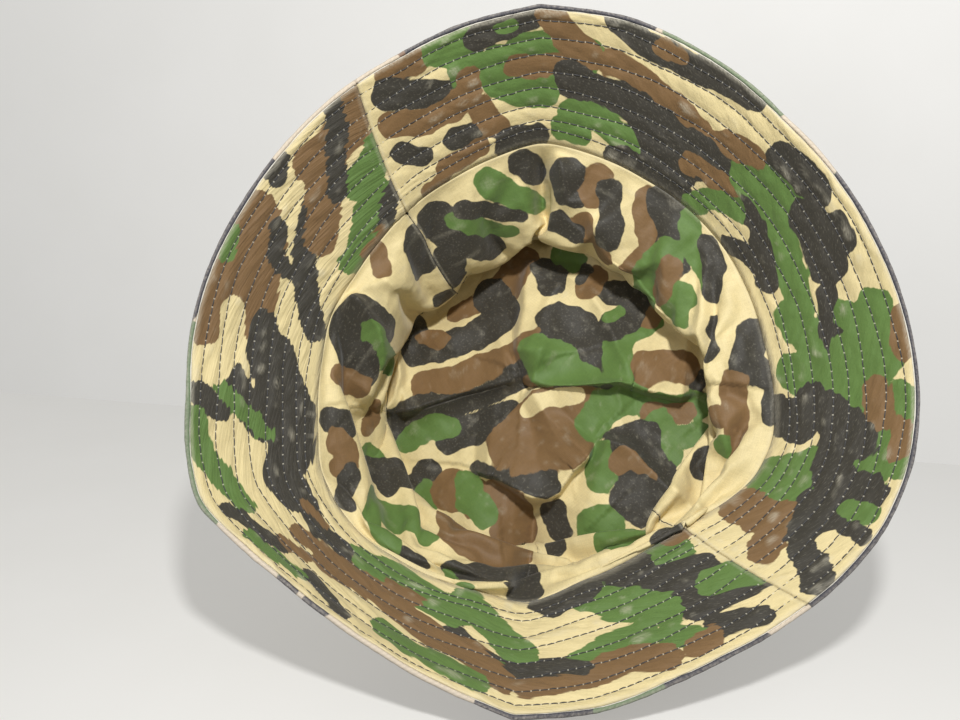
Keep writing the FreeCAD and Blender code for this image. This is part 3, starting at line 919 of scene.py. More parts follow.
def slouch(cuts, sewn_of, drawn_to, tip_hold, seam_hold, foot, stiffness, pull, frames):
    """Joins a crown's cuts into one bag, lets it slouch as cloth, and gives each cut its place."""
    bpy.ops.object.select_all(action="DESELECT")
    for cut in cuts:
        copy = cut.copy()
        copy.data = cut.data.copy()
        bpy.context.collection.objects.link(copy)
        move_points(copy, sewn_of(cut) * SIM_SCALE)
        copy.select_set(True)
        bpy.context.view_layer.objects.active = copy
    bpy.ops.object.join()
    bag = bpy.context.object
    bpy.ops.object.mode_set(mode="EDIT")
    bpy.ops.mesh.select_all(action="SELECT")
    bpy.ops.mesh.remove_doubles(threshold=0.05 * mm * SIM_SCALE)
    bpy.ops.mesh.normals_make_consistent(inside=False)
    bpy.ops.object.mode_set(mode="OBJECT")
    sewn = points_of(bag) / SIM_SCALE
    drawn = drawn_to(sewn)
    top, reach = sewn[:, 2].max(), np.hypot(sewn[:, 0], sewn[:, 1])
    at_top = sewn[:, 2] > top - 0.5 * mm
    tip_edge = reach[at_top].max()
    held = np.where(at_top, tip_hold, 0.0)
    held = np.where(at_top & (reach > tip_edge - 0.5 * mm), seam_hold, held)
    held = np.where(sewn[:, 2] < sewn[:, 2].min() + 0.5 * mm, 1.0, held)
    held = np.maximum(held, np.exp(-(sewn[:, 2] - sewn[:, 2].min()) / foot))
    held = np.where(held < 0.02, 0, held)
    group = bag.vertex_groups.new(name="held")
    for index, weight in enumerate(held):
        if weight > 0:
            group.add([index], float(weight), "REPLACE")
    bag.shape_key_add(name="sewn")
    key = bag.shape_key_add(name="drawn")
    key.data.foreach_set("co", (drawn * SIM_SCALE).ravel())
    key.value = 0
    key.keyframe_insert("value", frame=1)
    key.value = 1
    key.keyframe_insert("value", frame=frames - 15)
    cloth = bag.modifiers.new("cloth", "CLOTH")
    cloth.settings.quality = 6
    cloth.settings.mass = 0.15
    cloth.settings.tension_stiffness = 15
    cloth.settings.compression_stiffness = 15
    cloth.settings.shear_stiffness = 5
    cloth.settings.bending_stiffness = stiffness
    cloth.settings.tension_damping = 5
    cloth.settings.compression_damping = 5
    cloth.settings.shear_damping = 5
    cloth.settings.vertex_group_mass = "held"
    cloth.settings.pin_stiffness = 2
    cloth.collision_settings.use_collision = True
    cloth.collision_settings.distance_min = 0.01
    cloth.collision_settings.use_self_collision = True
    cloth.collision_settings.self_distance_min = 0.012
    cloth.collision_settings.collision_quality = 3
    cloth.point_cache.frame_start = 1
    cloth.point_cache.frame_end = frames
    scene = bpy.context.scene
    gravity_kept = tuple(scene.gravity)
    scene.gravity = tuple(-9.81 * UP_WAY * pull)
    for step in range(1, frames + 1):
        scene.frame_set(step)
    settled = bag.evaluated_get(bpy.context.evaluated_depsgraph_get())
    places = np.empty(len(sewn) * 3)
    settled.data.vertices.foreach_get("co", places)
    places = places.reshape(-1, 3) / SIM_SCALE
    scene.frame_set(1)
    scene.gravity = gravity_kept
    finder = KDTree(len(sewn))
    for index, point in enumerate(sewn):
        finder.insert(point, index)
    finder.balance()
    for cut in cuts:
        move_points(cut, np.array([places[finder.find(point)[1]] for point in sewn_of(cut)]))
    bpy.data.objects.remove(bag)


def soften(cut, levels):
    """Finer cells for a settled cut, which keeps its marks."""
    apply_modifier(cut, "SUBSURF", "softness", levels=levels, render_levels=levels)


def read_mark(piece, name):
    values = np.empty(len(piece.data.vertices))
    piece.data.attributes[name].data.foreach_get("value", values)
    return values


def normals_of(piece):
    flat = np.empty(len(piece.data.vertices) * 3)
    piece.data.vertices.foreach_get("normal", flat)
    return flat.reshape(-1, 3)


def cloth_shares(piece):
    """Each point's place on its flat cloth, as shares across and along."""
    return read_mark(piece, "cloth_across"), read_mark(piece, "cloth_along")


def bag_cuts(tip_name, side_name):
    """A round tip and the two halves of a side band, marked with their places on the flat cloth."""
    cuts = [round_cut(tip_name, TIP_CELLS)]
    for side in ("front", "back"):
        cuts.append(unit_cut(f"{side_name}_{side}", BAND_COLUMNS, BAND_LINES))
    for cut in cuts:
        share = points_of(cut)
        mark(cut, "cloth_across", share[:, 0])
        mark(cut, "cloth_along", share[:, 1])
    return cuts


def solid_shell(piece):
    """A piece's surface, for finding places on it, and the triangles that it is made of."""
    piece.data.calc_loop_triangles()
    triangles = [tuple(triangle.vertices) for triangle in piece.data.loop_triangles]
    return BVHTree.FromPolygons([Vector(place) for place in points_of(piece)], triangles), triangles


outer_cuts = bag_cuts("crown_tip", "crown_side")


def outer_as_sewn(cut):
    return crown_as_sewn(cut, outer_out, BAND_START, outer_rise, outer_tip_radius)


def outer_drawn(sewn):
    drawn, rise_share, across, along = leaning(sewn, outer_rise, outer_tip_radius, 8, 20)
    sink = np.clip(1 - np.hypot(across - 0.15, along + 0.1) / 0.85, 0, 1) ** 1.3
    drawn[:, 2] -= 6 * mm * sink * (rise_share > 0.99)
    return drawn


slouch(outer_cuts, outer_as_sewn, outer_drawn, tip_hold=0.06, seam_hold=0.45, foot=12 * mm,
       stiffness=0.9, pull=0.1, frames=32)

CROWN_SEEDS = {"crown_tip": 71, "crown_side_front": 72, "crown_side_back": 73}
band_flat = (math.pi * (opening_radius + outer_out + outer_tip_radius) / 2, outer_rise)
for cut in outer_cuts:
    soften(cut, 2)
    across, along = cloth_shares(cut)
    normal = normals_of(cut)
    if "tip" in cut.name:
        reach = np.hypot(across, along)
        seam_away = (1 - reach) * outer_tip_radius / mm
        lay_flat(cut, across * outer_tip_radius, along * outer_tip_radius)
        cloth_mm = np.stack([across + 1, along + 1], axis=-1) * outer_tip_radius / mm
        blobs = scattered_print(CROWN_SEEDS[cut.name], width=170, length=170, count=40)
    else:
        side_away = np.minimum(across, 1 - across) * math.pi * opening_radius / mm
        seam_away = np.minimum((1 - along) * outer_rise / mm, side_away)
        lay_flat(cut, across * band_flat[0], along * band_flat[1])
        cloth_mm = np.stack([across * band_flat[0], along * band_flat[1]], axis=-1) / mm
        blobs = scattered_print(CROWN_SEEDS[cut.name], width=275, length=92, count=42)
    allowance = 0.35 * hump(seam_away, 3.2, 1.5) - 0.5 * hump(seam_away, 0, 1.1)
    folds = 0.5 * smooth_noise(across * 22 + 3 * along, along * 12, 87)
    folds = folds + 0.25 * smooth_noise(across * 60, along * 26, 88)
    places = points_of(cut) + normal * ((allowance + folds * np.clip(seam_away / 6, 0, 1)) * mm)[:, None]
    move_points(cut, places)
    print_on(cut, print_distances(cloth_mm, blobs))
    mark(cut, "worn", np.maximum(0.45 * hump(seam_away, 1.6, 0.8), np.clip(folds * 0.5 - 0.1, 0, 0.25)))


def tip_edge(piece):
    """The outline of a round tip, in order round it."""
    across, along = cloth_shares(piece)
    at_edge = np.hypot(across, along) > 0.9995
    order = np.argsort(np.arctan2(along[at_edge], across[at_edge]))
    ring = points_of(piece)[at_edge][order]
    return np.concatenate([ring, ring[:1]])


def side_edge(piece):
    """The starting side of a crown band's half, from the opening up."""
    across, along = cloth_shares(piece)
    at_edge = across < 0.0005
    order = np.argsort(along[at_edge])
    return points_of(piece)[at_edge][order]


outer_tip_edge = tip_edge(outer_cuts[0])
outer_side_edges = [side_edge(cut) for cut in outer_cuts[1:]]
outer_shell = [solid_shell(cut)[0] for cut in outer_cuts]
for cut, node in zip(outer_cuts, ("outer_tip", "outer_side_front", "outer_side_back")):
    give_thickness(cut, TWILL_THICK, -1)
    cut.data.materials.append(outer_twill)
    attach(cut, "root")
    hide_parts(node)

# ------------------------------------------------------------------------------------------------
# Crown lining
# A loose bag of the printed cotton, a side band in two halves and a round tip, hangs inside the
# crown from the opening's seam. It has slumped to one side, and its tip and band have crumpled.
# ------------------------------------------------------------------------------------------------
tip_low, tip_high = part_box("inner_tip")
lining_rise = tip_low.z - band_low.z
tip_radius = tip_high.x - LINING_THICK

lining_cuts = bag_cuts("tip_lining", "side_lining")


def lining_as_sewn(cut):
    return crown_as_sewn(cut, 0, 0, lining_rise, tip_radius)


def lining_drawn(sewn):
    """Where the bag is drawn to as it slumps: its tip leans, and its band is dented on the deep side."""
    drawn, rise_share, across, along = leaning(sewn, lining_rise, tip_radius, 10, 56)
    flat = np.hypot(across, along)
    inside = np.clip(1.6 - 1.6 * flat, 0, 1)
    ridge = np.exp(-(((along + 0.05 + 0.10 * across) / 0.11) ** 2)) * np.clip((across + 0.25) * 1.5, 0, 1)
    fold_line = np.exp(-np.abs(across + 0.06 + 0.05 * along) / 0.05) * (along > -0.1)
    drawn[:, 2] -= (11 * ridge * inside - 5 * fold_line * inside) * mm * rise_share
    dent = np.exp(-((across + 0.62) ** 2 + (along - 0.68) ** 2) / 0.16)
    drawn += (rise_share * dent * 16 * mm)[:, None] * (0.5 * RIGHT_WAY - 0.75 * UP_WAY)
    spread = np.clip(flat * (0.5 * across - 0.1 * along), 0, 1) * rise_share
    drawn[:, :2] *= 1 + 0.13 * spread[:, None]
    return drawn


slouch(lining_cuts, lining_as_sewn, lining_drawn, tip_hold=0.12, seam_hold=0.5, foot=3.5 * mm,
       stiffness=0.15, pull=0.6, frames=45)

# Folds pressed into the slumped bag: how far each stands down into the opening in mm, how far its
# left and right sides reach, and its line, in mm to the right of and above the crown's middle.
CROWN_FOLDS = [
    (6, 24, 7, [(-4, 64), (-7, 50), (-7, 37), (-10, 23), (-11, 9)]),
    (4, 10, 8, [(11, 52), (3, 42), (-1, 31), (-7, 17), (-11, 9)]),
    (4, 10, 6, [(19, 47), (27, 33), (34, 13), (39, 2)]),
    (9, 22, 2.2, [(-11, 8), (2, 4), (14, 2), (27, 1), (39, 2), (55, -2), (67, -4)]),
    (6, 3, 18, [(-11, -9), (-1, -4), (19, -2), (39, 0)]),
    (8, 4, 22, [(-11, 8), (-23, 5), (-40, 2), (-63, -5), (-74, -8)]),
    (3, 2.5, 5, [(-63, -11), (-40, -4), (-14, 2)]),
    (8, 20, 2.5, [(-34, -36), (-23, -37), (-14, -42), (-7, -47), (1, -47), (8, -37), (20, -26)]),
    (7, 9, 20, [(20, -27), (35, -32), (45, -43), (55, -54), (66, -63)]),
    (-8, 8, 8, [(-1, -50), (-6, -59), (-7, -70), (-8, -82), (-11, -93)]),
    (4, 14, 4, [(-77, -57), (-70, -70), (-52, -77), (-35, -81), (-9, -83)]),
    (3, 5, 5, [(83, 59), (82, 39)]),
    (-6, 4, 4, [(-1, 101), (-1, 86), (1, 70)]),
    (4, 5, 4, [(5, 99), (8, 86), (10, 76), (18, 77)]),
    (3, 5, 3, [(18, 76), (24, 60)]),
    (8, 3, 12, [(-20, -80), (-19, -96)]),
    (7, 3.5, 10, [(-90, 33), (-81, 29), (-74, 19), (-72, 7), (-75, -3), (-82, -12)]),
    (2.5, 5, 5, [(-69, 43), (-59, 25)]),
    (2, 4, 7, [(-81, 36), (-69, 40), (-55, 30)]),
]
FOLD_STRENGTH = 1.8

# Bulges between the folds: how far each stands into the opening, its reach across and along, and its
# middle, all in mm.
CROWN_BULGES = [(8, 20, 17, -30, -61), (8, 18, 22, 22, -60), (5, 16, 10, 52, -12), (4, 14, 12, -45, 25)]


def pressed_folds(across, along):
    """How far the folds carry each place down into the opening, and over to their steep side, in mm."""
    place = np.stack([across, along], axis=-1)
    down = np.zeros(len(place))
    over = np.zeros_like(place)
    for tall, left_reach, right_reach, line in CROWN_FOLDS:
        line = np.asarray(line, float)
        lengths = np.linalg.norm(np.diff(line, axis=0), axis=1)
        starts = np.concatenate([[0], np.cumsum(lengths)])
        nearest = np.full(len(place), 1e9)
        side = np.zeros(len(place))
        travelled = np.zeros(len(place))
        leftwards = np.zeros_like(place)
        for index, (first, second) in enumerate(zip(line[:-1], line[1:])):
            run = second - first
            from_first = place - first
            share = np.clip(from_first @ run / (run @ run), 0, 1)
            away = np.linalg.norm(from_first - share[:, None] * run, axis=1)
            closer = away < nearest
            nearest = np.where(closer, away, nearest)
            side = np.where(closer, np.sign(run[0] * from_first[:, 1] - run[1] * from_first[:, 0]), side)
            travelled = np.where(closer, starts[index] + share * lengths[index], travelled)
            leftwards = np.where(closer[:, None], np.array([-run[1], run[0]]) / lengths[index], leftwards)
        reach = np.where(side > 0, left_reach, right_reach)
        rounded = np.sqrt(nearest ** 2 + 0.5) - math.sqrt(0.5)
        ends = np.clip(np.minimum(travelled, starts[-1] - travelled) / 9 + 0.25, 0, 1)
        height = FOLD_STRENGTH * tall * np.exp(-rounded / reach) * ends
        down += height
        lopsided = (left_reach - right_reach) / (left_reach + right_reach)
        near = hump(nearest, 0, 5) * ends
        over -= leftwards * (abs(tall) * 0.75 * lopsided * near)[:, None]
    for tall, wide, deep, middle_across, middle_along in CROWN_BULGES:
        away = ((across - middle_across) / wide) ** 2 + ((along - middle_along) / deep) ** 2
        down += tall * np.exp(-away)
    return down, over


LINING_CLEAR = 1.7 * mm
NEAR_SHELL = 60 * mm
CLEARING_PASSES = 2
for cut in lining_cuts:
    soften(cut, 2)
    across, along = cloth_shares(cut)
    places = points_of(cut)
    if "tip" in cut.name:
        from_opening = 60 + 0 * across
        lay_flat(cut, across * tip_radius, along * tip_radius)
    else:
        from_opening = along * lining_rise / mm
        lay_flat(cut, across * math.pi * tip_radius, along * lining_rise)
    folds, over = pressed_folds(places @ RIGHT_WAY / mm, places @ UP_WAY / mm)
    kept = np.clip(from_opening / 9, 0, 1)
    east, north, height = (places / mm).T
    crumple = smooth_noise(east / 11 + height / 17, north / 11 - height / 15, 91)
    crumple += 0.5 * smooth_noise(east / 4.5 - height / 8, north / 4.5 + height / 7, 92)
    places[:, 2] -= (folds + 0.9 * crumple) * kept * mm
    places += (over[:, :1] * RIGHT_WAY + over[:, 1:] * UP_WAY) * kept[:, None] * mm
    for index in [*range(len(places))] * CLEARING_PASSES:
        place = places[index]
        near = [shell.find_nearest(Vector(place)) for shell in outer_shell]
        found, facing, _, away = min(near, key=lambda hit: hit[3])
        if away < NEAR_SHELL:
            short = TWILL_THICK + LINING_CLEAR + (Vector(place) - found).dot(facing)
            if short > 0:
                places[index] = place - np.array(facing) * short
    move_points(cut, places)
# The bag's print, as it shows when one looks up into the crown: each blob's dye, its half width in
# mm, and its line, in mm to the right of and above the opening's middle. Two thin black strips are
# painted shadow: they lie in the shade of the valleys under two folds.
BAG_PRINT = [
    ("black", 6.5, [(-48, 68), (-55, 57), (-53, 47)]), ("black", 6, [(-48, 66), (-36, 57), (-22, 55)]),
    ("black", 5.5, [(-41, 50), (-39, 40), (-43, 32)]), ("green", 3.2, [(-39, 66), (-26, 63), (-15, 61)]),
    ("green", 4.5, [(-25, 84), (-17, 78), (-4, 73)]), ("black", 3.2, [(-35, 71), (-24, 70), (-11, 68)]),
    ("black", 4.5, [(-9, 92), (-4, 87)]), ("black", 3.8, [(-56, 22), (-55, 17)]),
    ("brown", 3, [(-72, 54), (-70, 44)]), ("black", 5, [(-81, 28), (-72, 25), (-67, 19)]),
    ("green", 4, [(-76, 17), (-71, 9), (-66, 4)]), ("black", 7, [(-88, 21), (-86, 9), (-79, 0)]),
    ("brown", 4, [(-88, -1), (-79, -6)]), ("black", 4, [(-92, -20), (-83, -22)]),
    ("brown", 4, [(-88, -29), (-83, -34), (-86, -40)]), ("black", 3.5, [(-82, -43), (-84, -54)]),
    ("black", 3.5, [(-79, -67), (-64, -75), (-53, -79)]), ("green", 4.5, [(-73, -53), (-66, -72)]),
    ("black", 6, [(-36, -84), (-21, -82), (-12, -84), (-10, -92)]),
    ("green", 2.5, [(-41, -84), (-34, -89)]), ("black", 6, [(10, 87), (13, 78)]),
    ("brown", 4.5, [(24, 85), (21, 76)]), ("black", 4.5, [(28, 78), (28, 64), (27, 57)]),
    ("brown", 4, [(17, 64), (19, 57)]), ("black", 4, [(5, 65), (13, 60)]),
    ("brown", 4, [(44, 75), (43, 66), (45, 56)]), ("black", 6.5, [(52, 72), (54, 61), (56, 50)]),
    ("green", 4, [(62, 64), (64, 50), (70, 35)]), ("black", 4, [(69, 54), (72, 43), (71, 33)]),
    ("black", 5, [(87, 16), (83, 2), (90, -2)]), ("black", 3.2, [(94, -8), (93, -19)]),
    ("black", 3.5, [(71, 19), (68, 8), (63, -3)]), ("brown", 5, [(78, -6), (79, -20), (78, -32)]),
    ("brown", 7, [(-10, 46), (-15, 37)]), ("brown", 4, [(-38, 25), (-29, 29)]),
    ("black", 6.5, [(-24, 33), (-17, 25), (-29, 16)]), ("black", 5.5, [(-29, 16), (-43, 11), (-56, 8)]),
    ("brown", 3.8, [(-51, 15), (-46, 14)]),
    ("brown", 4.5, [(-53, -5), (-36, -2), (-21, 5), (-8, 11), (-3, 14)]),
    ("black", 6, [(-64, -21), (-53, -16), (-39, -12)]), ("black", 5.5, [(-39, -12), (-24, -8), (-12, -4)]),
    ("black", 6, [(-41, -28), (-29, -24), (-17, -19)]), ("brown", 3, [(-72, -15), (-76, -24)]),
    ("green", 4.5, [(-59, -29), (-50, -24), (-41, -23)]), ("green", 4, [(-76, -34), (-72, -36)]),
    ("black", 6, [(-72, -42), (-59, -43), (-50, -44)]), ("black", 5, [(-66, -47), (-55, -48)]),
    ("green", 5.5, [(-69, -57), (-57, -61), (-50, -53)]), ("green", 4, [(-53, -63), (-50, -68)]),
    ("brown", 8, [(-39, -50), (-39, -64)]), ("brown", 8, [(-17, -50), (-14, -67), (-15, -75)]),
    ("brown", 7, [(-38, -70), (-24, -75)]), ("brown", 7, [(-29, -53), (-28, -68)]),
    ("green", 5, [(-33, -47), (-32, -54), (-26, -60)]),
    # Painted shadow: the thin black strip that starts this line lies in the shade under the fold at the
    # crown's bottom.
    ("black", 2.6, [(-29, -41), (-18, -43), (-8, -48), (0, -50)]), ("black", 3, [(0, -40), (-2, -47)]),
    ("brown", 8, [(-15, -29), (-7, -23), (7, -16), (16, -15)]),
    ("brown", 6, [(-8, -35), (5, -32), (12, -27)]), ("cream", 2.5, [(-8, -16), (2, -11), (13, -10)]),
    # Painted shadow: the thin black strip that starts this line lies in the narrow shaded valley between
    # two folds.
    ("black", 2.6, [(-7, -1), (7, -5), (21, -6), (31, -6)]), ("brown", 3, [(-7, -5), (0, -6)]),
    ("green", 6, [(-3, 9), (7, 11)]), ("green", 5.5, [(-1, 4), (17, 1), (33, -2)]),
    ("black", 6.5, [(5, 22), (16, 18), (20, 12)]), ("black", 5, [(20, 12), (27, 6)]),
    ("black", 4.2, [(0, 45), (2, 37)]), ("black", 3.8, [(5, 43), (4, 37)]),
    ("green", 4.8, [(8, 51), (13, 46)]), ("brown", 5, [(24, 50), (21, 40), (18, 36)]),
    ("black", 2.3, [(18, 44), (15, 40)]), ("brown", 3.4, [(43, 50), (35, 43), (26, 35)]),
    ("green", 6.5, [(51, 49), (45, 42), (43, 32)]), ("green", 8, [(56, 28), (41, 19), (33, 11), (35, 1)]),
    ("brown", 4.6, [(53, 44), (48, 33), (43, 23)]),
    ("black", 5.5, [(30, 33), (38, 32), (35, 23), (28, 19)]), ("green", 1.9, [(27, 22), (31, 25)]),
    ("cream", 5, [(43, 8), (55, 15), (64, 22)]), ("brown", 4.6, [(41, 2), (52, 4), (59, 2)]),
    ("green", 5.8, [(19, -23), (24, -16), (38, -12), (52, -14), (62, -14)]),
    ("brown", 4, [(44, -18), (58, -18), (71, -20)]), ("green", 5, [(47, -23), (50, -35)]),
    ("green", 4, [(52, -29), (64, -27), (73, -32)]), ("black", 5.5, [(31, -29), (41, -27)]),
    ("black", 6.5, [(41, -36), (50, -47), (64, -39)]), ("cream", 4, [(64, -34), (76, -36), (86, -29)]),
    ("green", 3.5, [(58, -50), (72, -47), (86, -41)]), ("black", 4.5, [(51, -54), (64, -55), (78, -52)]),
    ("green", 5, [(21, -36), (23, -46)]), ("brown", 4.5, [(32, -39), (38, -47)]),
    ("black", 7.5, [(35, -53), (43, -58), (50, -67)]), ("green", 8, [(22, -66), (27, -70), (33, -68)]),
    ("black", 4.8, [(13, -75), (20, -81), (28, -79)]), ("black", 4, [(2, -57), (5, -67), (3, -73)]),
]
BAG_SPREAD = 1.36
LONGEST_RUN = 45
VIEW_TILT = math.radians(8)
EYE_AWAY = 0.486
look = Vector((0, 0, math.cos(VIEW_TILT))) + Vector(UP_WAY) * math.sin(VIEW_TILT)
opening_centre = Vector((0, 0, opening_height))
eye = opening_centre - look * EYE_AWAY
printed_bag = printed_cloth(
    "printed_crown_lining", LINING_SHADES, LINING_YARN, ribbed=False, roughness=0.6, pricked=False)
band_lining_flat = (math.pi * (opening_radius + tip_radius) / 2, lining_rise)


def cloth_places(piece):
    """Where each point of a crown lining cut lies on its flat cloth, in mm."""
    across, along = cloth_shares(piece)
    if "tip" in piece.name:
        return np.stack([across, along], axis=-1) * tip_radius / mm
    return np.stack([across * band_lining_flat[0], along * band_lining_flat[1]], axis=-1) / mm


bag_surfaces = [(*solid_shell(cut), cloth_places(cut)) for cut in lining_cuts]


def seen_on_cloth(across, along):
    """Which cut shows at a place in the opening, and where on its flat cloth that is, in mm."""
    place = opening_centre + Vector(RIGHT_WAY) * across * mm + Vector(UP_WAY) * along * mm
    best = (None, None, 1e9)
    for index, (surface, triangles, cloth) in enumerate(bag_surfaces):
        found, _, face, away = surface.ray_cast(eye, (place - eye).normalized())
        if found is not None and away < best[2]:
            best = (index, cloth[list(triangles[face])].mean(axis=0), away)
    return best[:2]


bag_blobs = [[], [], []]
for dye, half_width, line in BAG_PRINT:
    seen = [seen_on_cloth(*place) for place in line]
    for index in range(3):
        on_cut = [cloth for piece_index, cloth in seen if piece_index == index]
        if on_cut:
            on_cut = on_cut if len(on_cut) > 1 else on_cut + [on_cut[0] + 0.1]
            runs = [np.linalg.norm(second - first) for first, second in zip(on_cut, on_cut[1:])]
            if max(runs) < LONGEST_RUN:
                bag_blobs[index].append((dye, half_width * BAG_SPREAD, on_cut))

lining_tip_edge = tip_edge(lining_cuts[0])
lining_side_edges = [side_edge(cut) for cut in lining_cuts[1:]]
for cut, blobs, node in zip(lining_cuts, bag_blobs, ("inner_tip", "inner_side_front", "inner_side_back")):
    across, along = cloth_shares(cut)
    print_on(cut, print_distances(cloth_places(cut), blobs))
    if "tip" in cut.name:
        seam_away = (1 - np.hypot(across, along)) * tip_radius / mm
    else:
        side_away = np.minimum(across, 1 - across) * math.pi * tip_radius / mm
        seam_away = np.minimum(np.minimum(along, 1 - along) * lining_rise / mm, side_away)
    rubbed = smooth_noise(across * 30, along * 30, 95) * 0.5
    mark(cut, "worn", np.maximum(0.55 * hump(seam_away, 0.5, 0.5), np.clip(rubbed - 0.25, 0, 0.2)))
    give_thickness(cut, LINING_THICK, 1)
    cut.data.materials.append(printed_bag)
    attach(cut, "root")
    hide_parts(node)

# ------------------------------------------------------------------------------------------------
# Seam threads
# The same black thread closes every seam from inside: round the rim, round the opening, round both
# tips and down the side seams. Almost all of it is hidden in the seams once the hat is turned.
# ------------------------------------------------------------------------------------------------
SEAM_PITCH = 3.0 * mm


def on_path(path, run, where):
    """Places on a path, each at a distance along it."""
    return np.stack([np.interp(where, run, path[:, axis]) for axis in range(3)], axis=-1)


def unit_long(directions):
    return directions / (np.linalg.norm(directions, axis=1, keepdims=True) + 1e-9)


def sew_along(name, path, side_of):
    """A line of stitches along a path of places, lying to the side given by a direction at each."""
    steps = np.linalg.norm(np.diff(path, axis=0), axis=1)
    run = np.concatenate([[0], np.cumsum(steps)])
    count = max(2, round(run[-1] / SEAM_PITCH))
    line = sewn_line(name, count)
    places = points_of(line)
    where = np.clip(places[:, 0] / count, 0, 1) * run[-1]
    here = on_path(path, run, where)
    forward = unit_long(on_path(path, run, where + mm) - on_path(path, run, where - mm))
    raised = side_of(here)
    raised = unit_long(raised - forward * (raised * forward).sum(axis=1, keepdims=True))
    sideways = np.cross(raised, forward)
    move_points(line, here + sideways * places[:, 1:2] + raised * (places[:, 2:] + 0.1 * mm))
    return line


def outwards(places):
    return unit_long(places * np.array([1, 1, 0]))


def upwards(places):
    return np.zeros_like(places) + np.array([0, 0, 1.0])


RING_TURNS = np.linspace(0, 2 * math.pi, 361)


def ring_thread(name, down, out):
    ring = 0 * RING_TURNS
    return sew_along(name, on_brim(RING_TURNS, ring + down, ring + out), upwards)


def brim_seam_thread(name, out):
    down = np.linspace(2.5 * mm, brim_width - 4 * mm, 60)
    lines = []
    for turn in (0.0, math.pi):
        path = on_brim(seam_skew(0 * down + turn, down), down, 0 * down + out)
        lines.append(sew_along(f"{name}_{len(lines)}", path, upwards))
    return join_pieces(name, lines)


seam_threads = [
    (ring_thread("thread_rim_seam", brim_width - 2.4 * mm, 0.5 * mm), "rim_seam_thread"),
    (ring_thread("thread_inner_crown_seam", 0.7 * mm, 0.6 * mm), "inner_crown_seam_thread"),
    (ring_thread("thread_outer_crown_seam", 1.2 * mm, BRIM_TOP - 0.6 * mm), "outer_crown_seam_thread"),
    (brim_seam_thread("thread_inner_brim_seams", 0.5 * mm), "inner_brim_seam_threads"),
    (brim_seam_thread("thread_outer_brim_seams", BRIM_TOP - 0.7 * mm), "outer_brim_seam_threads"),
    (sew_along("thread_outer_tip_seam", outer_tip_edge, upwards), "outer_tip_seam_thread"),
    (sew_along("thread_inner_tip_seam", lining_tip_edge, outwards), "inner_tip_seam_thread"),
    (join_pieces("thread_outer_side_seams", [
        sew_along(f"outer_side_{index}", edge, outwards) for index, edge in enumerate(outer_side_edges)]),
     "outer_side_seam_threads"),
    (join_pieces("thread_inner_side_seams", [
        sew_along(f"inner_side_{index}", edge, outwards) for index, edge in enumerate(lining_side_edges)]),
     "inner_side_seam_threads"),
]
for piece, node in seam_threads:
    finish_thread(piece, node)
bpy.data.objects.remove(stitch_model)

# ------------------------------------------------------------------------------------------------
# Stage
# The hat rests rim down on a plain pale floor. A second pale surface, under the tipped crown, is seen
# only through the floor's open underside, when one looks up into the hat.
# ------------------------------------------------------------------------------------------------
FLOOR_GREYS = (shade_of(222, 221, 217), shade_of(229, 228, 225))
LAID_GREYS = (shade_of(181, 180, 176), shade_of(187, 186, 183))


def pale_surface(name, shown, greys, glow):
    """A matt surface that is seen on its front only, and from below also only through the floor."""
    paint, start = blank_material(name)
    place = start.node("ShaderNodeTexCoord", out="Object")
    mottle = start.noise(place, 0.06, 3.0)
    colour = start.mixed((0.5 + mottle * 0.5).clamped(), *greys)
    warm = {"Emission Color": (1, 0.98, 0.93, 1), "Emission Strength": glow}
    solid = start.node("ShaderNodeBsdfPrincipled", {}, {"Base Color": colour, "Roughness": 1.0, **warm})
    clear = start.node("ShaderNodeBsdfTransparent")
    share = start.node("ShaderNodeNewGeometry", out="Backfacing")
    if shown == "from below":
        passed = start.node("ShaderNodeLightPath", out="Transparent Depth")
        share = (share + start.math("LESS_THAN", passed, 1.5)).clamped()
    mixed = start.node("ShaderNodeMixShader", {}, {0: share, 1: solid, 2: clear})
    start.node("ShaderNodeOutputMaterial", {}, {"Surface": mixed})
    return paint


def stage_plane(name, size, shown, greys, glow):
    bpy.ops.object.select_all(action="DESELECT")
    bpy.ops.mesh.primitive_plane_add(size=size)
    plane = bpy.context.object
    plane.name = name
    plane.data.materials.append(pale_surface(name, shown, greys, glow))
    plane.visible_shadow = False
    plane.visible_diffuse = False
    plane.visible_glossy = False
    return plane


stage_plane("floor", 6.0, "from above", FLOOR_GREYS, 0.0)
floor_underside = stage_plane("floor_underside", 6.0, "from above", FLOOR_GREYS, 0.0)
floor_underside.data.transform(Matrix.Translation((0, 0, -2 * mm)))

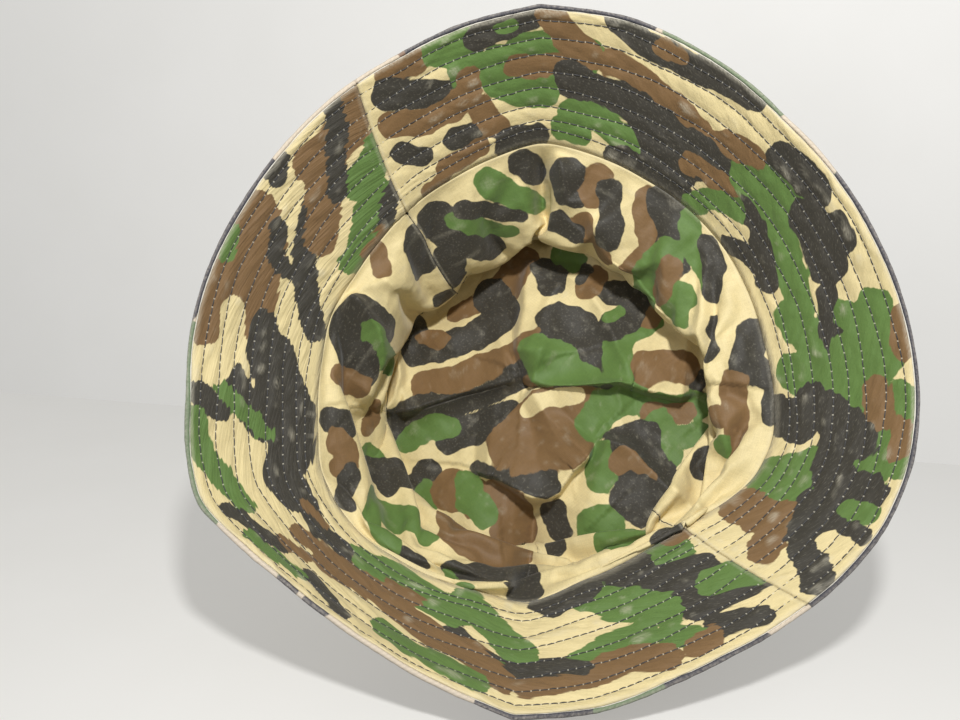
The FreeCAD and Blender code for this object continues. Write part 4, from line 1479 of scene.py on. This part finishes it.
up = Vector(UP_WAY)
right = Vector(RIGHT_WAY)
LYING_SLOPE = math.radians(66)
WALL_BEHIND = 0.356
WALL_TURN = math.radians(13.9)
lying_up = (up * math.cos(LYING_SLOPE) + Vector((0, 0, math.sin(LYING_SLOPE)))).normalized()
lying_normal = right.cross(lying_up).normalized()
lying_low = -up * 0.1475 + Vector((0, 0, 0.004))
wall_facing = lying_up * math.cos(WALL_TURN) + right * math.sin(WALL_TURN)
laid_middle = lying_low - lying_up * 0.9
wall_middle = lying_low + lying_up * WALL_BEHIND + lying_normal * 1.4
for name, middle, rising, facing, greys, glow in (
    ("laid_surface", laid_middle, lying_up, lying_normal, LAID_GREYS, 0.36),
    ("wall_behind", wall_middle, lying_normal, -wall_facing, FLOOR_GREYS, 0.18),
):
    sheet = stage_plane(name, 3.0, "from below", greys, glow)
    sheet.data.transform(Matrix((rising.cross(facing), rising, facing)).transposed().to_4x4())
    sheet.data.transform(Matrix.Translation(middle))

# ------------------------------------------------------------------------------------------------
# Camera and light
# One looks up into the opening from a little to one side. A soft lamp stands beside the camera and
# another above the hat, in a pale studio.
# ------------------------------------------------------------------------------------------------
bpy.ops.object.camera_add(location=eye)
camera = bpy.context.object
AIM_LEFT = 0.0574
AIM_UP = 0.0104
aim = (look - right * AIM_LEFT + up * AIM_UP).normalized()
camera_right = aim.cross(up).normalized()
camera_up = camera_right.cross(aim)
camera.rotation_mode = "QUATERNION"
camera.rotation_quaternion = Matrix((camera_right, camera_up, -aim)).transposed().to_quaternion()
camera.data.lens = 43.1
camera.data.sensor_width = 36
bpy.context.scene.camera = camera


def soft_lamp(name, place, size, power, target):
    bpy.ops.object.light_add(type="AREA", location=place)
    lamp = bpy.context.object
    lamp.name = name
    lamp.data.shape = "DISK"
    lamp.data.size = size
    lamp.data.energy = power
    lamp.rotation_mode = "QUATERNION"
    lamp.rotation_quaternion = (target - Vector(place)).to_track_quat("-Z", "Y")


beside_eye = opening_centre - look * 0.62 + up * 0.30 + right * 0.05
soft_lamp("lamp_below", beside_eye, 0.05, 4.15, opening_centre)
soft_lamp("fill_below", opening_centre - look * 0.9 - right * 0.5, 0.8, 1.4, opening_centre)
soft_lamp("lamp_above", (0.7, -0.5, 1.1), 0.5, 9, Vector((0, 0, 0.05)))
world = bpy.data.worlds.new("studio")
bpy.context.scene.world = world
world.use_nodes = True
sky = world.node_tree.nodes["Background"]
sky.inputs["Color"].default_value = (0.93, 0.94, 0.95, 1)
sky.inputs["Strength"].default_value = 0.30
bpy.context.scene.view_settings.view_transform = "Standard"
